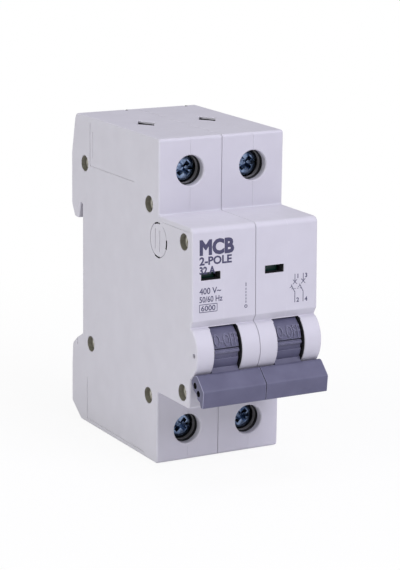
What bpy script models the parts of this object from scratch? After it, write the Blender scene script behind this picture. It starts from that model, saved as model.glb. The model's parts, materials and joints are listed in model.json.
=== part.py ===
"""Two-pole miniature circuit breaker for a 35 mm DIN rail, in its own frame.

X runs across the poles, the front of the device faces -Y, Z is up, and the origin is the
middle of the bottom of the whole object's box.  Depths are millimetres ahead of the rail
seat, heights are millimetres above the bottom face, and x is measured from the middle of
a pole.  `place` turns all three into metres.
"""
import math

import bmesh
import bpy
from mathutils import Matrix, Vector

MM = 0.001
GAP = 0.3                       # clearance kept between neighbouring solids

# Driving dimensions
OVERALL_WIDTH = 35.5
POLE_PITCH = (OVERALL_WIDTH + GAP) / 2
POLE_WIDTH = POLE_PITCH - GAP
HEIGHT = 83.3
SHOULDER_DEPTH = 43.2
NOSE_DEPTH = 60.5
NOSE_BOTTOM = 18.9
NOSE_TOP = 64.2
LIP_BOTTOM = 39.3               # the nose's lower lip, above the toggle
LIP_TOP = 41.2
REAR_DEPTH = -6.6
SIDE_WALL = 2.4
INNER_WALL = 1.5
RAIL_RECESS_BOTTOM = 24.2
RAIL_SLOT_TOP = 59.6
RAIL_SEAT_TOP = 56.0            # above this the rail's upper edge goes behind the hook

# The toggle: the axis of its drum and the cheeks around it
AXIS = (56.0, 33.0)             # (depth, height)
CHEEK_RADIUS = 7.8
DRUM_RADIUS = 6.75
DRUM_HALF = 3.6
SLOT_HALF = 3.9
SLOT_ARC = (-75.0, 64.0)        # degrees, from forwards to upwards
TRUNNION_RADIUS = 1.8
TRUNNION_REACH = 6.8
CRANK_RADIUS = 5.0
CRANK_ANGLE = 139.0
BAR_FRONT_DEPTH = 67.2
BAR_PINS = ((62.9, 25.7), (64.6, 24.1))
BAR_PIN_RADIUS = 0.55

# Terminals
UPPER_SCREW_HEIGHT = 74.9
LOWER_SCREW_HEIGHT = 8.2
SCREW_BORE_RADIUS = 3.85
SCREW_BORE_DEEP = 8.0
SCREW_HEAD_DEPTH = 39.4
WIRE_DEPTH = 19.3
WIRE_BORE_RADIUS = 3.15
FUNNEL_HALF = 4.7
FUNNEL_FLOOR_HALF = 2.2
FUNNEL_DEEP = 2.4
TERMINAL_WALL = 3.4             # thickness of the walls that the wires enter through

# The indicator's window, from the middle of a pole
WINDOW_X = -3.7
WINDOW_HEIGHT = 52.3
WINDOW_DEEP = 2.0

# Six rivets, as (depth, height)
RIVETS = {
    "upper_rear": (1.3, 70.6),
    "upper_middle": (37.9, 66.3),
    "upper_front": (56.3, 60.2),
    "lower_rear": (5.0, 22.4),
    "lower_middle": (38.2, 16.9),
    "lower_front": (56.3, 22.3),
}
RIVET_RECESS_RADIUS = 2.1
RIVET_RECESS_DEEP = 1.7
RIVET_HEAD_RADIUS = 1.8
RIVET_HEAD_THICK = 0.6
RIVET_SHAFT_RADIUS = 1.1

# Bores in the side walls
KNOCK_OUT_RADII = (4.15, 4.5)
CHEEK_HOLE = (62.2, 33.0)
CHEEK_HOLE_RADIUS = 0.6
TRIP_OPENING_RADIUS = 3.2
MARK_DEEP = 0.5

# The latch on the rail
LATCH_HALF = 4.2
LATCH_RIB_HALF = 2.7
LATCH_DEPTHS = (-3.6, -1.9)
LATCH_HEIGHTS = (0.5, 22.2)
LATCH_TRAVEL = 2.0

# The trip mechanism and the moving contact, as (depth, height)
TRIP_PIVOT = (30.0, 50.0)
TRIP_BAR = (43.2, 58.1)
TRIP_BAR_RADIUS = 1.0
TRIP_LEVER_SIDES = (-5.9, -4.6)
ARM_PIVOT = (33.0, 33.0)
ARM_PIN_RADIUS = 1.0
ARM_REACH = 14.0                # from the pivot down to the tip of the moving contact
ARM_LUG = (42.0, 34.8)
STRIP_THICK = 1.2
SPRING_WIRE_RADIUS = 0.28

# The solenoid stands upright in the rear of the pole
SOLENOID_DEPTH = 8.0
YOKE_DEPTHS = (2.9, 15.0)
YOKE_HEIGHTS = (46.0, 64.8)
YOKE_HALF = 4.0
COIL_HEIGHTS = (48.6, 61.8)
COIL_RADIUS = 4.1
COIL_WIRE_RADIUS = 0.75
PLUNGER_RADIUS = 1.6
PLUNGER_FOOT = 43.5
PLUNGER_TOP = 72.6
PLUNGER_FLANGE_RADIUS = 2.9
PLUNGER_FLANGE_THICK = 1.0

# The arc chute's stack of plates
CHUTE_HALF = 5.6
CHUTE_DEPTHS = (8.0, 24.3)
CHUTE_HEIGHTS = (14.6, 31.0)
CHUTE_GAPS = 7
CHUTE_WALL = 0.8
PLATE_PITCH = 2.3
PLATE_THICK = 1.0

MID_DEPTH = (BAR_FRONT_DEPTH + REAR_DEPTH) / 2
POLES = {"pole_1": -POLE_PITCH / 2, "pole_2": POLE_PITCH / 2}
OUTER_SIDE = {"pole_1": -1, "pole_2": 1}


def place(x, depth, height):
    """The world position, in metres, of a point given in millimetres."""
    return Vector((x, MID_DEPTH - depth, height)) * MM


def polar(center, radius, degrees):
    """A (depth, height) point at an angle that turns from forwards to upwards."""
    angle = math.radians(degrees)
    return (center[0] + radius * math.cos(angle), center[1] + radius * math.sin(angle))


def arc(center, radius, start, end, steps):
    """Points along an arc in the side view, both ends included."""
    return [polar(center, radius, start + (end - start) * i / steps) for i in range(steps + 1)]


# Scene, collections and materials

def clear_scene():
    for item in list(bpy.data.objects):
        bpy.data.objects.remove(item, do_unlink=True)


def new_collection(name):
    collection = bpy.data.collections.new(name)
    bpy.context.scene.collection.children.link(collection)
    return collection


def new_material(name, color, roughness, metallic=0.0):
    material = bpy.data.materials.new(name)
    material.use_nodes = True
    shader = material.node_tree.nodes["Principled BSDF"]
    shader.inputs["Base Color"].default_value = (*color, 1.0)
    shader.inputs["Roughness"].default_value = roughness
    shader.inputs["Metallic"].default_value = metallic
    return material


clear_scene()
PARTS = new_collection("circuit_breaker")
CUTTERS = new_collection("cutters")
FINISH = {
    "housing": ((0.60, 0.59, 0.64), 0.5, 0.0),
    "toggle": ((0.15, 0.15, 0.20), 0.45, 0.0),
    "indicator": ((0.02, 0.12, 0.08), 0.5, 0.0),
    "zinc": ((0.55, 0.57, 0.62), 0.3, 1.0),
    "steel": ((0.50, 0.50, 0.50), 0.35, 1.0),
    "copper": ((0.72, 0.40, 0.25), 0.3, 1.0),
    "brass": ((0.75, 0.60, 0.30), 0.3, 1.0),
    "nylon": ((0.80, 0.78, 0.70), 0.5, 0.0),
}


def add_part(name, mesh, finish, smooth=False, origin=None):
    """Put a finished mesh, whose vertices are in world metres, in as a named part."""
    mesh.name = name
    part = bpy.data.objects.new(name, mesh)
    PARTS.objects.link(part)
    part.data.materials.append(new_material(name, *FINISH[finish]))
    if origin is not None:
        mesh.transform(Matrix.Translation(-origin))
        part.location = origin
    if smooth:
        mesh.shade_smooth()
        mesh.set_sharp_from_angle(angle=math.radians(35))
    return part


def add_cutter(name, mesh):
    cutter = bpy.data.objects.new(name, mesh)
    CUTTERS.objects.link(cutter)
    cutter.hide_render = True
    cutter.display_type = "WIRE"
    return cutter


def boolean(target, operation, *tools):
    for tool in tools:
        modifier = target.modifiers.new(tool.name, "BOOLEAN")
        modifier.operation = operation
        modifier.solver = "EXACT"
        modifier.object = tool
    return target


# Shapes, each a mesh in world metres

def side_frame(x, depth, height):
    """A frame whose X is depth, whose Y is height and whose Z runs towards -X."""
    frame = Matrix(((0, 0, -1), (-1, 0, 0), (0, 1, 0))).to_4x4()
    return Matrix.Translation(place(x, depth, height)) @ frame


def evaluated_mesh(item):
    """Take an object's evaluated mesh in world space, welded, and remove the object."""
    bpy.context.view_layer.update()
    graph = bpy.context.evaluated_depsgraph_get()
    mesh = bpy.data.meshes.new_from_object(item.evaluated_get(graph))
    mesh.transform(item.matrix_world)
    bpy.data.objects.remove(item, do_unlink=True)
    work = bmesh.new()
    work.from_mesh(mesh)
    bmesh.ops.remove_doubles(work, verts=work.verts, dist=0.01 * MM)
    bmesh.ops.recalc_face_normals(work, faces=work.faces)
    work.to_mesh(mesh)
    work.free()
    return mesh


def prism(x_low, x_high, outline):
    """A flat outline of (depth, height) points, thickened along X."""
    curve = bpy.data.curves.new("outline", "CURVE")
    curve.dimensions = "2D"
    curve.fill_mode = "BOTH"
    curve.extrude = (x_high - x_low) / 2 * MM
    spline = curve.splines.new("POLY")
    spline.points.add(len(outline) - 1)
    for point, (depth, height) in zip(spline.points, outline):
        point.co = (depth * MM, height * MM, 0.0, 1.0)
    spline.use_cyclic_u = True
    item = bpy.data.objects.new("outline", curve)
    PARTS.objects.link(item)
    item.matrix_world = side_frame((x_low + x_high) / 2, 0.0, 0.0)
    return evaluated_mesh(item)


def box(x_low, x_high, depth_low, depth_high, low, high):
    work = bmesh.new()
    size = Vector((x_high - x_low, depth_high - depth_low, high - low)) * MM
    center = place((x_low + x_high) / 2, (depth_low + depth_high) / 2, (low + high) / 2)
    bmesh.ops.create_cube(work, size=1.0, matrix=Matrix.Translation(center) @ Matrix.Diagonal((*size, 1.0)))
    return finish_bmesh(work)


def rod(start, end, radius, end_radius=None, sides=16, turn=0.0):
    """A cylinder or cone between two (x, depth, height) points."""
    low = place(*start)
    high = place(*end)
    along = high - low
    frame = along.to_track_quat("Z", "Y").to_matrix().to_4x4()
    matrix = Matrix.Translation((low + high) / 2) @ frame @ Matrix.Rotation(turn, 4, "Z")
    work = bmesh.new()
    bmesh.ops.create_cone(
        work, cap_ends=True, segments=sides, radius1=radius * MM,
        radius2=(radius if end_radius is None else end_radius) * MM, depth=along.length, matrix=matrix)
    return finish_bmesh(work)


def cross_rod(x_low, x_high, center, radius, sides=14):
    """A cylinder along X at a (depth, height) point."""
    return rod((x_low, *center), (x_high, *center), radius, sides=sides)


def ring(x_low, x_high, center, inner, outer, steps=20):
    """A square-section ring around X, turned from its section."""
    work = bmesh.new()
    corners = ((outer, x_high), (outer, x_low), (inner, x_low), (inner, x_high))
    loop = [work.verts.new((radius * MM, 0.0, x * MM)) for radius, x in corners]
    for i, vertex in enumerate(loop):
        work.edges.new((vertex, loop[(i + 1) % len(loop)]))
    mesh = bpy.data.meshes.new("ring")
    work.to_mesh(mesh)
    work.free()
    item = bpy.data.objects.new("ring", mesh)
    PARTS.objects.link(item)
    screw = item.modifiers.new("turn", "SCREW")
    screw.steps = steps
    screw.render_steps = steps
    screw.use_merge_vertices = True
    screw.merge_threshold = 0.00001
    item.matrix_world = Matrix.Translation(place(0.0, *center)) @ Matrix.Rotation(math.radians(90), 4, "Y")
    return evaluated_mesh(item)


def wire(points, radius, sides_level=2):
    """A round wire along (x, depth, height) points, with closed ends."""
    curve = bpy.data.curves.new("wire", "CURVE")
    curve.dimensions = "3D"
    curve.bevel_depth = radius * MM
    curve.bevel_resolution = sides_level
    curve.use_fill_caps = True
    spline = curve.splines.new("POLY")
    spline.points.add(len(points) - 1)
    for point, position in zip(spline.points, points):
        point.co = (*place(*position), 1.0)
    item = bpy.data.objects.new("wire", curve)
    PARTS.objects.link(item)
    return evaluated_mesh(item)


def finish_bmesh(work):
    bmesh.ops.recalc_face_normals(work, faces=work.faces)
    mesh = bpy.data.meshes.new("shape")
    work.to_mesh(mesh)
    work.free()
    return mesh


def gather(name, meshes):
    """Join separate shapes, which don't touch each other, into one mesh."""
    work = bmesh.new()
    for mesh in meshes:
        work.from_mesh(mesh)
    joined = bpy.data.meshes.new(name)
    work.to_mesh(joined)
    work.free()
    return joined


def helix_x(x_start, x_end, center, radius, turns, steps=7):
    """Points of a coil around an axis along X."""
    count = turns * steps
    return [(x_start + (x_end - x_start) * i / count, *polar(center, radius, 360.0 * i / steps))
            for i in range(count + 1)]


def helix_z(x, depth, low, high, radius, turns, steps=7):
    """Points of a coil around a vertical axis."""
    count = turns * steps
    points = []
    for i in range(count + 1):
        angle = math.tau * i / steps
        height = low + (high - low) * i / count
        points.append((x + radius * math.cos(angle), depth + radius * math.sin(angle), height))
    return points


# The housing

def housing_outline():
    """The side view of the housing, from the bottom of the front round to the rear."""
    cheek = arc(AXIS, CHEEK_RADIUS, -57.0, 51.0, 12)
    nose_edge = arc((NOSE_DEPTH - 1.5, NOSE_TOP - 1.5), 1.5, 0.0, 90.0, 4)
    rear_edge = arc((-2.6, HEIGHT - 1.8), 1.8, 90.0, 168.0, 4)
    return [
        (SHOULDER_DEPTH, 0.0),
        (SHOULDER_DEPTH, NOSE_BOTTOM),
        (NOSE_DEPTH - 0.6, NOSE_BOTTOM),
        *cheek,
        (NOSE_DEPTH - 1.9, LIP_BOTTOM),
        (NOSE_DEPTH, LIP_TOP),
        *nose_edge,
        (SHOULDER_DEPTH, NOSE_TOP),
        (SHOULDER_DEPTH, HEIGHT - 0.4),
        (SHOULDER_DEPTH - 0.4, HEIGHT),
        *rear_edge,
        (REAR_DEPTH, 72.4),
        (REAR_DEPTH, 59.2),
        (-5.9, 57.0),
        (-4.8, 55.5),
        (-2.7, 55.3),
        (-2.2, 56.1),
        (-1.3, RAIL_SLOT_TOP),
        (0.25, RAIL_SLOT_TOP),
        (0.25, RAIL_SEAT_TOP),
        (0.0, RAIL_SEAT_TOP),
        (0.0, RAIL_RECESS_BOTTOM),
        (-3.3, 22.3),
        (-5.6, 20.6),
        (-6.2, 19.2),
        (REAR_DEPTH, 15.0),
        (REAR_DEPTH, 3.7),
        (-1.0, 0.0),
    ]


def cavity_outline():
    """The hollow that holds the mechanism, walled off from the terminals' bores."""
    front = SHOULDER_DEPTH - 7.0
    bottom = NOSE_BOTTOM + INNER_WALL
    step = AXIS[0] - 6.5
    shelf = LIP_TOP + 1.0
    rear = INNER_WALL + GAP
    return [
        (front, TERMINAL_WALL),
        (front, bottom),
        (step, bottom),
        (step, shelf),
        (NOSE_DEPTH - INNER_WALL, shelf),
        (NOSE_DEPTH - INNER_WALL, NOSE_TOP - INNER_WALL),
        (front, NOSE_TOP - INNER_WALL),
        (front, HEIGHT - TERMINAL_WALL),
        (rear, HEIGHT - TERMINAL_WALL),
        (rear, TERMINAL_WALL),
    ]


def window_pocket(x):
    """The indicator window: a rectangle whose walls draw in towards the back."""
    stretch = Matrix.Diagonal((2.5, 1.0, 1.0, 1.0))
    pocket = rod((0.0, NOSE_DEPTH - WINDOW_DEEP, WINDOW_HEIGHT), (0.0, NOSE_DEPTH + 0.5, WINDOW_HEIGHT),
                 1.35, 1.7, sides=4, turn=math.radians(45))
    pocket.transform(Matrix.Translation((place(x + WINDOW_X, 0.0, 0.0).x, 0.0, 0.0)) @ stretch)
    return pocket


def terminal_rows():
    """Each terminal's name, screw height, and the height and direction of its wire entry."""
    return (("upper", UPPER_SCREW_HEIGHT, HEIGHT, 1), ("lower", LOWER_SCREW_HEIGHT, 0.0, -1))


def terminal_voids(x):
    """The screw's bore and the wire's bore of both terminals, and the funnels that lead into them."""
    bores, funnels = [], []
    for label, screw_height, mouth, outward in terminal_rows():
        bores.append(rod((x, SHOULDER_DEPTH - SCREW_BORE_DEEP, screw_height),
                         (x, SHOULDER_DEPTH + 1.0, screw_height), SCREW_BORE_RADIUS, sides=22))
        bores.append(rod((x, WIRE_DEPTH, mouth - outward * (TERMINAL_WALL + 1.0)),
                         (x, WIRE_DEPTH, mouth + outward), WIRE_BORE_RADIUS))
        funnels.append(rod((x, WIRE_DEPTH, mouth - outward * FUNNEL_DEEP),
                           (x, WIRE_DEPTH, mouth + outward * 0.2), FUNNEL_FLOOR_HALF, FUNNEL_HALF, sides=4))
    return bores, funnels


def rivet_voids(x):
    """A recess for each rivet's head in both side faces, and the holes for the shafts."""
    half = POLE_WIDTH / 2
    beyond = half + 1.0
    recesses, holes = [], []
    for center in RIVETS.values():
        for side in (-1, 1):
            ends = sorted((x + side * (half - RIVET_RECESS_DEEP), x + side * beyond))
            recesses.append(cross_rod(*ends, center, RIVET_RECESS_RADIUS))
        holes.append(cross_rod(x - beyond, x + beyond, center, RIVET_SHAFT_RADIUS + GAP, sides=8))
    return recesses, holes


def toggle_voids(x):
    """The room for the drum, its slot in the front, its bearings, and what is beside it."""
    drum = cross_rod(x - SLOT_HALF, x + SLOT_HALF, AXIS, DRUM_RADIUS + GAP, sides=32)
    bearing = cross_rod(x - TRUNNION_REACH - GAP, x + TRUNNION_REACH + GAP, AXIS, TRUNNION_RADIUS + GAP)
    slot_front = arc(AXIS, CHEEK_RADIUS + GAP, *SLOT_ARC, 12)
    slot_back = arc(AXIS, DRUM_RADIUS - 0.2, *reversed(SLOT_ARC), 12)
    slot = prism(x - SLOT_HALF, x + SLOT_HALF, slot_front + slot_back)
    near = SLOT_HALF - 0.2
    link_side = x + 5.4
    spring_pocket = cross_rod(x - 5.9, x - near, AXIS, 3.3)
    link_pocket = cross_rod(x + near, link_side, AXIS, CRANK_RADIUS + 1.2)
    link_way = box(x + near, link_side, AXIS[0] - 7.5, AXIS[0] - 3.0, AXIS[1] - 5.0, AXIS[1] + 5.0)
    return [drum], [bearing, slot, link_way], [spring_pocket, link_pocket]


def latch_voids(x):
    """The channel that the latch slides in, and the slot for its rib."""
    rear, front = LATCH_DEPTHS
    top = LATCH_HEIGHTS[1] + LATCH_TRAVEL + GAP
    channel = box(x - LATCH_HALF - GAP, x + LATCH_HALF + GAP, rear - GAP, front + GAP, -1.0, top)
    rib_half = LATCH_RIB_HALF + GAP
    rib_slot = box(x - rib_half, x + rib_half, REAR_DEPTH - 1.0, rear + 0.6, -1.0, top)
    return channel, rib_slot


def side_voids(pole, x):
    """The marks in the pole's outer face, and the opening for the coupling bar in its inner one."""
    side = OUTER_SIDE[pole]
    outer = x + side * POLE_WIDTH / 2
    inner = x - side * POLE_WIDTH / 2
    mark = sorted((outer - side * MARK_DEEP, outer + side * MARK_DEEP))
    opening = sorted((inner + side * (SIDE_WALL + 1.0), inner - side))
    return [
        ring(*mark, TRIP_BAR, *KNOCK_OUT_RADII),
        cross_rod(*mark, CHEEK_HOLE, CHEEK_HOLE_RADIUS, sides=12),
        cross_rod(*opening, (TRIP_BAR[0], TRIP_BAR[1] + 0.7), TRIP_OPENING_RADIUS),
    ]


def pole_cutters(pole, x):
    """The cutters that both halves of one pole's housing share."""
    inner = POLE_WIDTH / 2 - SIDE_WALL
    bores, funnels = terminal_voids(x)
    recesses, rivet_holes = rivet_voids(x)
    drum, slots, toggle_pockets = toggle_voids(x)
    channel, rib_slot = latch_voids(x)
    groups = {
        "cavity": [prism(x - inner, x + inner, cavity_outline())],
        "large_voids": bores + recesses + drum,
        "small_voids": funnels + rivet_holes + slots + [window_pocket(x), channel],
        "pockets": toggle_pockets + [rib_slot] + side_voids(pole, x),
    }
    return [add_cutter(f"{pole}_{name}", gather(name, meshes)) for name, meshes in groups.items()]


def make_housing(pole, x):
    half = POLE_WIDTH / 2
    cutters = pole_cutters(pole, x)
    for side, low, high in (("left", -half, -GAP / 2), ("right", GAP / 2, half)):
        shell = add_part(f"{pole}_{side}_shell", prism(x + low, x + high, housing_outline()), "housing")
        boolean(shell, "DIFFERENCE", *cutters)


def make_din_clip(pole, x):
    """The latch that slides in the rear of the housing and catches the rail's lower edge."""
    plate = box(x - LATCH_HALF, x + LATCH_HALF, *LATCH_DEPTHS, *LATCH_HEIGHTS)
    rib = prism(x - LATCH_RIB_HALF, x + LATCH_RIB_HALF,
                [(-2.5, 2.4), (-2.5, 23.6), (-2.9, 23.6), (-6.3, 19.4), (-6.3, 3.9)])
    clip = add_part(pole + "_din_clip", plate, "nylon")
    boolean(clip, "UNION", add_cutter(pole + "_clip_rib", rib))


# The terminals

def make_screw(name, x, height):
    """A screw with a combined slot and cross recess, and its shank in the cage's thread."""
    head_back = SCREW_HEAD_DEPTH - 2.2
    head = rod((x, head_back, height), (x, SCREW_HEAD_DEPTH, height), 3.35, sides=18)
    screw = add_part(name, head, "zinc", smooth=True, origin=place(x, SCREW_HEAD_DEPTH, height))
    shank = rod((x, 24.4, height), (x, head_back + 1.0, height), 2.4, sides=12)
    recess_floor = SCREW_HEAD_DEPTH - 1.1
    mouth = SCREW_HEAD_DEPTH + 0.5
    blade = 0.45
    slot = box(x - 2.8, x + 2.8, recess_floor, mouth, height - blade, height + blade)
    cross = box(x - blade, x + blade, recess_floor, mouth, height - 2.2, height + 2.2)
    boolean(screw, "UNION", add_cutter(name + "_shank", shank))
    boolean(screw, "DIFFERENCE", add_cutter(name + "_slot", slot), add_cutter(name + "_cross", cross))


def make_cage(name, x, height):
    """The clamp that the screw draws forwards, open above and below, with a threaded front."""
    rear, front = 14.3, 28.0
    half_width, half_height = 4.9, 4.3
    side_wall, rear_wall, front_wall = 1.2, 1.7, 2.0
    body = box(x - half_width, x + half_width, rear, front, height - half_height, height + half_height)
    half_passage = half_width - side_wall
    passage = box(x - half_passage, x + half_passage, rear + rear_wall, front - front_wall,
                  height - half_height - 1.0, height + half_height + 1.0)
    thread = rod((x, front - front_wall - 1.0, height), (x, front + 1.0, height), 2.75, sides=12)
    cage = add_part(name, body, "zinc")
    boolean(cage, "DIFFERENCE", add_cutter(name + "_passage", passage), add_cutter(name + "_thread", thread))


def strip_outline(path, thick=STRIP_THICK):
    """The outline of a strip bent at right angles, from the path that one of its faces takes."""
    normals = []
    for (depth, height), (next_depth, next_height) in zip(path, path[1:]):
        length = math.hypot(next_depth - depth, next_height - height)
        normals.append(((height - next_height) / length, (next_depth - depth) / length))
    offsets = [normals[0]]
    offsets += [(a[0] + b[0], a[1] + b[1]) for a, b in zip(normals, normals[1:])]
    offsets.append(normals[-1])
    back = [(depth + thick * a, height + thick * b) for (depth, height), (a, b) in zip(path, offsets)]
    return path + back[::-1]


def make_conductors(pole, x):
    """The strips that carry the current between the terminals and the mechanism."""
    wide, narrow = 3.0, 2.5
    line = [(22.8, 78.6), (22.8, 66.6), (ARM_PIVOT[0], 66.6)]
    add_part(pole + "_line_conductor", prism(x - wide, x + wide, strip_outline(line)), "copper")
    load = [(24.0, 4.6), (24.0, 14.0), (3.3, 14.0), (3.3, 45.0)]
    add_part(pole + "_load_conductor", prism(x - wide, x + wide, strip_outline(load)), "copper")
    strap = [(26.5, 18.0), (26.5, 45.2), (12.4, 45.2)]
    contact = add_part(pole + "_fixed_contact", prism(x - narrow, x + narrow, strip_outline(strap)), "copper")
    button_height = ARM_PIVOT[1] - ARM_REACH + 1.9
    button = rod((x, 26.0, button_height), (x, 27.3, button_height), 1.5, sides=12)
    boolean(contact, "UNION", add_cutter(pole + "_fixed_button", button))


# The mechanism

def make_solenoid(pole, x):
    coil = helix_z(x, SOLENOID_DEPTH, *COIL_HEIGHTS, COIL_RADIUS, turns=6, steps=8)
    add_part(pole + "_solenoid_coil", wire(coil, COIL_WIRE_RADIUS), "copper", smooth=True)
    rear, front = YOKE_DEPTHS
    foot, top = YOKE_HEIGHTS
    frame = strip_outline([(rear, foot), (front, foot), (front, top), (rear, top)])
    yoke = add_part(pole + "_solenoid_yoke", prism(x - YOKE_HALF, x + YOKE_HALF, frame), "steel")
    beyond = STRIP_THICK
    bore = rod((x, SOLENOID_DEPTH, foot - beyond), (x, SOLENOID_DEPTH, top + beyond),
               PLUNGER_RADIUS + 0.35, sides=12)
    boolean(yoke, "DIFFERENCE", add_cutter(pole + "_yoke_bore", bore))


def make_plunger(pole, x):
    """The solenoid's plunger, which its spring holds up by the flange."""
    under_flange = PLUNGER_TOP - PLUNGER_FLANGE_THICK
    origin = place(x, SOLENOID_DEPTH, PLUNGER_FOOT)
    core = rod((x, SOLENOID_DEPTH, PLUNGER_FOOT), (x, SOLENOID_DEPTH, under_flange + 0.4),
               PLUNGER_RADIUS, sides=12)
    plunger = add_part(pole + "_plunger", core, "steel", smooth=True, origin=origin)
    flange = rod((x, SOLENOID_DEPTH, under_flange), (x, SOLENOID_DEPTH, PLUNGER_TOP), PLUNGER_FLANGE_RADIUS,
                 sides=12)
    boolean(plunger, "UNION", add_cutter(pole + "_plunger_flange", flange))
    low = YOKE_HEIGHTS[1] + 0.7
    spring = helix_z(x, SOLENOID_DEPTH, low, under_flange - 0.7, 2.4, turns=5)
    add_part(pole + "_plunger_spring", wire(spring, SPRING_WIRE_RADIUS), "steel", smooth=True)


def make_bimetal_and_braid(pole, x):
    strip = box(x - 2.5, x + 2.5, 33.4, 34.2, 45.0, 67.5)
    add_part(pole + "_bimetal_strip", strip, "brass", origin=place(x, 33.8, 66.0))
    route = [(35.2, 46.5), (37.2, 46.0), (38.6, 44.4), (38.9, 42.0), (38.2, 39.6), (36.4, 37.6), (34.6, 37.0)]
    braid = wire([(x + 2.4, *point) for point in route], 0.7)
    add_part(pole + "_braid", braid, "copper", smooth=True)


def make_arc_chute(pole, x):
    """A stack of steel plates held at their sides, with the gaps open to front and rear."""
    rear, front = CHUTE_DEPTHS
    stack = box(x - CHUTE_HALF, x + CHUTE_HALF, rear, front, *CHUTE_HEIGHTS)
    chute = add_part(pole + "_arc_chute", stack, "steel")
    reach = CHUTE_HALF - CHUTE_WALL
    gaps = []
    for i in range(CHUTE_GAPS):
        low = CHUTE_HEIGHTS[0] + PLATE_THICK + PLATE_PITCH * i
        gaps.append(box(x - reach, x + reach, rear - 1.0, front + 1.0, low, low + PLATE_PITCH - PLATE_THICK))
    boolean(chute, "DIFFERENCE", add_cutter(pole + "_plate_gaps", gather("gaps", gaps)))


def make_contact_arm(pole, x):
    """The moving contact: a finger and a lever on one hub, with a boss that the link drives."""
    depth, height = ARM_PIVOT
    lug_depth, lug_height = ARM_LUG
    tip = height - ARM_REACH
    hub = cross_rod(x - 1.1, x + 1.1, ARM_PIVOT, 2.6)
    arm = add_part(pole + "_contact_arm", hub, "copper", origin=place(x, *ARM_PIVOT))
    finger = [(depth - 0.8, height), (depth + 0.8, height), (depth + 2.4, tip), (depth + 0.8, tip)]
    lever = [(depth, height - 1.2), (lug_depth + 0.4, lug_height - 1.2), (lug_depth + 0.4, lug_height + 1.2),
             (depth, height + 1.2)]
    shapes = {
        "finger": prism(x - 1.0, x + 1.0, finger),
        "lever": prism(x - 0.9, x + 0.9, lever),
        "boss": cross_rod(x - 0.8, x + 3.3, ARM_LUG, 1.0),
        "button": rod((x, depth + 0.2, tip + 1.7), (x, depth + 1.6, tip + 1.5), 1.4, sides=14),
    }
    for label, mesh in shapes.items():
        boolean(arm, "UNION", add_cutter(f"{pole}_arm_{label}", mesh))
    bore = cross_rod(x - 2.0, x + 2.0, ARM_PIVOT, ARM_PIN_RADIUS + 0.35)
    boolean(arm, "DIFFERENCE", add_cutter(pole + "_arm_bore", bore))


def make_arm_pivot(pole, x):
    pin = cross_rod(x - 5.9, x + 5.9, ARM_PIVOT, ARM_PIN_RADIUS)
    add_part(pole + "_arm_pivot_pin", pin, "steel", smooth=True)
    spring = helix_x(x + 1.8, x + 4.2, ARM_PIVOT, ARM_PIN_RADIUS + 0.7, turns=4)
    add_part(pole + "_contact_spring", wire(spring, SPRING_WIRE_RADIUS), "steel", smooth=True)


def make_trip_lever(pole, x):
    """The lever beside the mechanism, from the solenoid's foot to the coupling bar."""
    depth, height = TRIP_PIVOT
    bar_depth, bar_height = TRIP_BAR
    low, high = (x + side for side in TRIP_LEVER_SIDES)
    outline = [
        (6.4, 38.4),
        (10.0, 38.4),
        (depth, height - 2.0),
        (depth + 1.2, 45.6),
        (depth + 1.2, height - 1.2),
        (bar_depth + 1.4, bar_height - 1.6),
        (bar_depth + 1.4, bar_height + 1.9),
        (bar_depth - 1.9, bar_height + 1.9),
        (depth, height + 2.0),
        (6.4, 40.0),
    ]
    lever = add_part(pole + "_trip_lever", prism(low, high, outline), "nylon", origin=place(x, *TRIP_PIVOT))
    foot = box(low + 0.4, x + 1.5, 6.8, 9.2, 38.8, 39.8)
    tab = box(low + 0.4, x + 1.5, depth - 0.3, depth + 0.9, 46.2, 47.6)
    boolean(lever, "UNION", add_cutter(pole + "_trip_foot", foot), add_cutter(pole + "_trip_tab", tab))
    eye = cross_rod(low - 1.0, high + 1.0, TRIP_BAR, TRIP_BAR_RADIUS + GAP)
    boolean(lever, "DIFFERENCE", add_cutter(pole + "_trip_eye", eye))


def make_indicator(pole, x):
    """The flag behind the window, which rises as the toggle goes on."""
    front = NOSE_DEPTH - WINDOW_DEEP - GAP
    middle = x + WINDOW_X
    flag = box(middle - 2.5, middle + 2.5, front - 0.9, front, WINDOW_HEIGHT - 5.5, WINDOW_HEIGHT + 2.1)
    add_part(pole + "_indicator_flag", flag, "indicator")


# The toggles

def bar_outline():
    """The section of the handle bar, from the underside of the drum round the grip."""
    return [
        (AXIS[0] + 3.0, AXIS[1] - 4.5),
        (60.9, 26.2),
        (62.2, 24.3),
        (63.5, 23.6),
        (64.2, 22.6),
        (65.2, 21.9),
        (65.9, 20.8),
        (66.7, 20.8),
        (BAR_FRONT_DEPTH, 25.0),
        (63.2, 28.9),
        (AXIS[0] + 4.5, AXIS[1] - 2.5),
    ]


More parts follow.
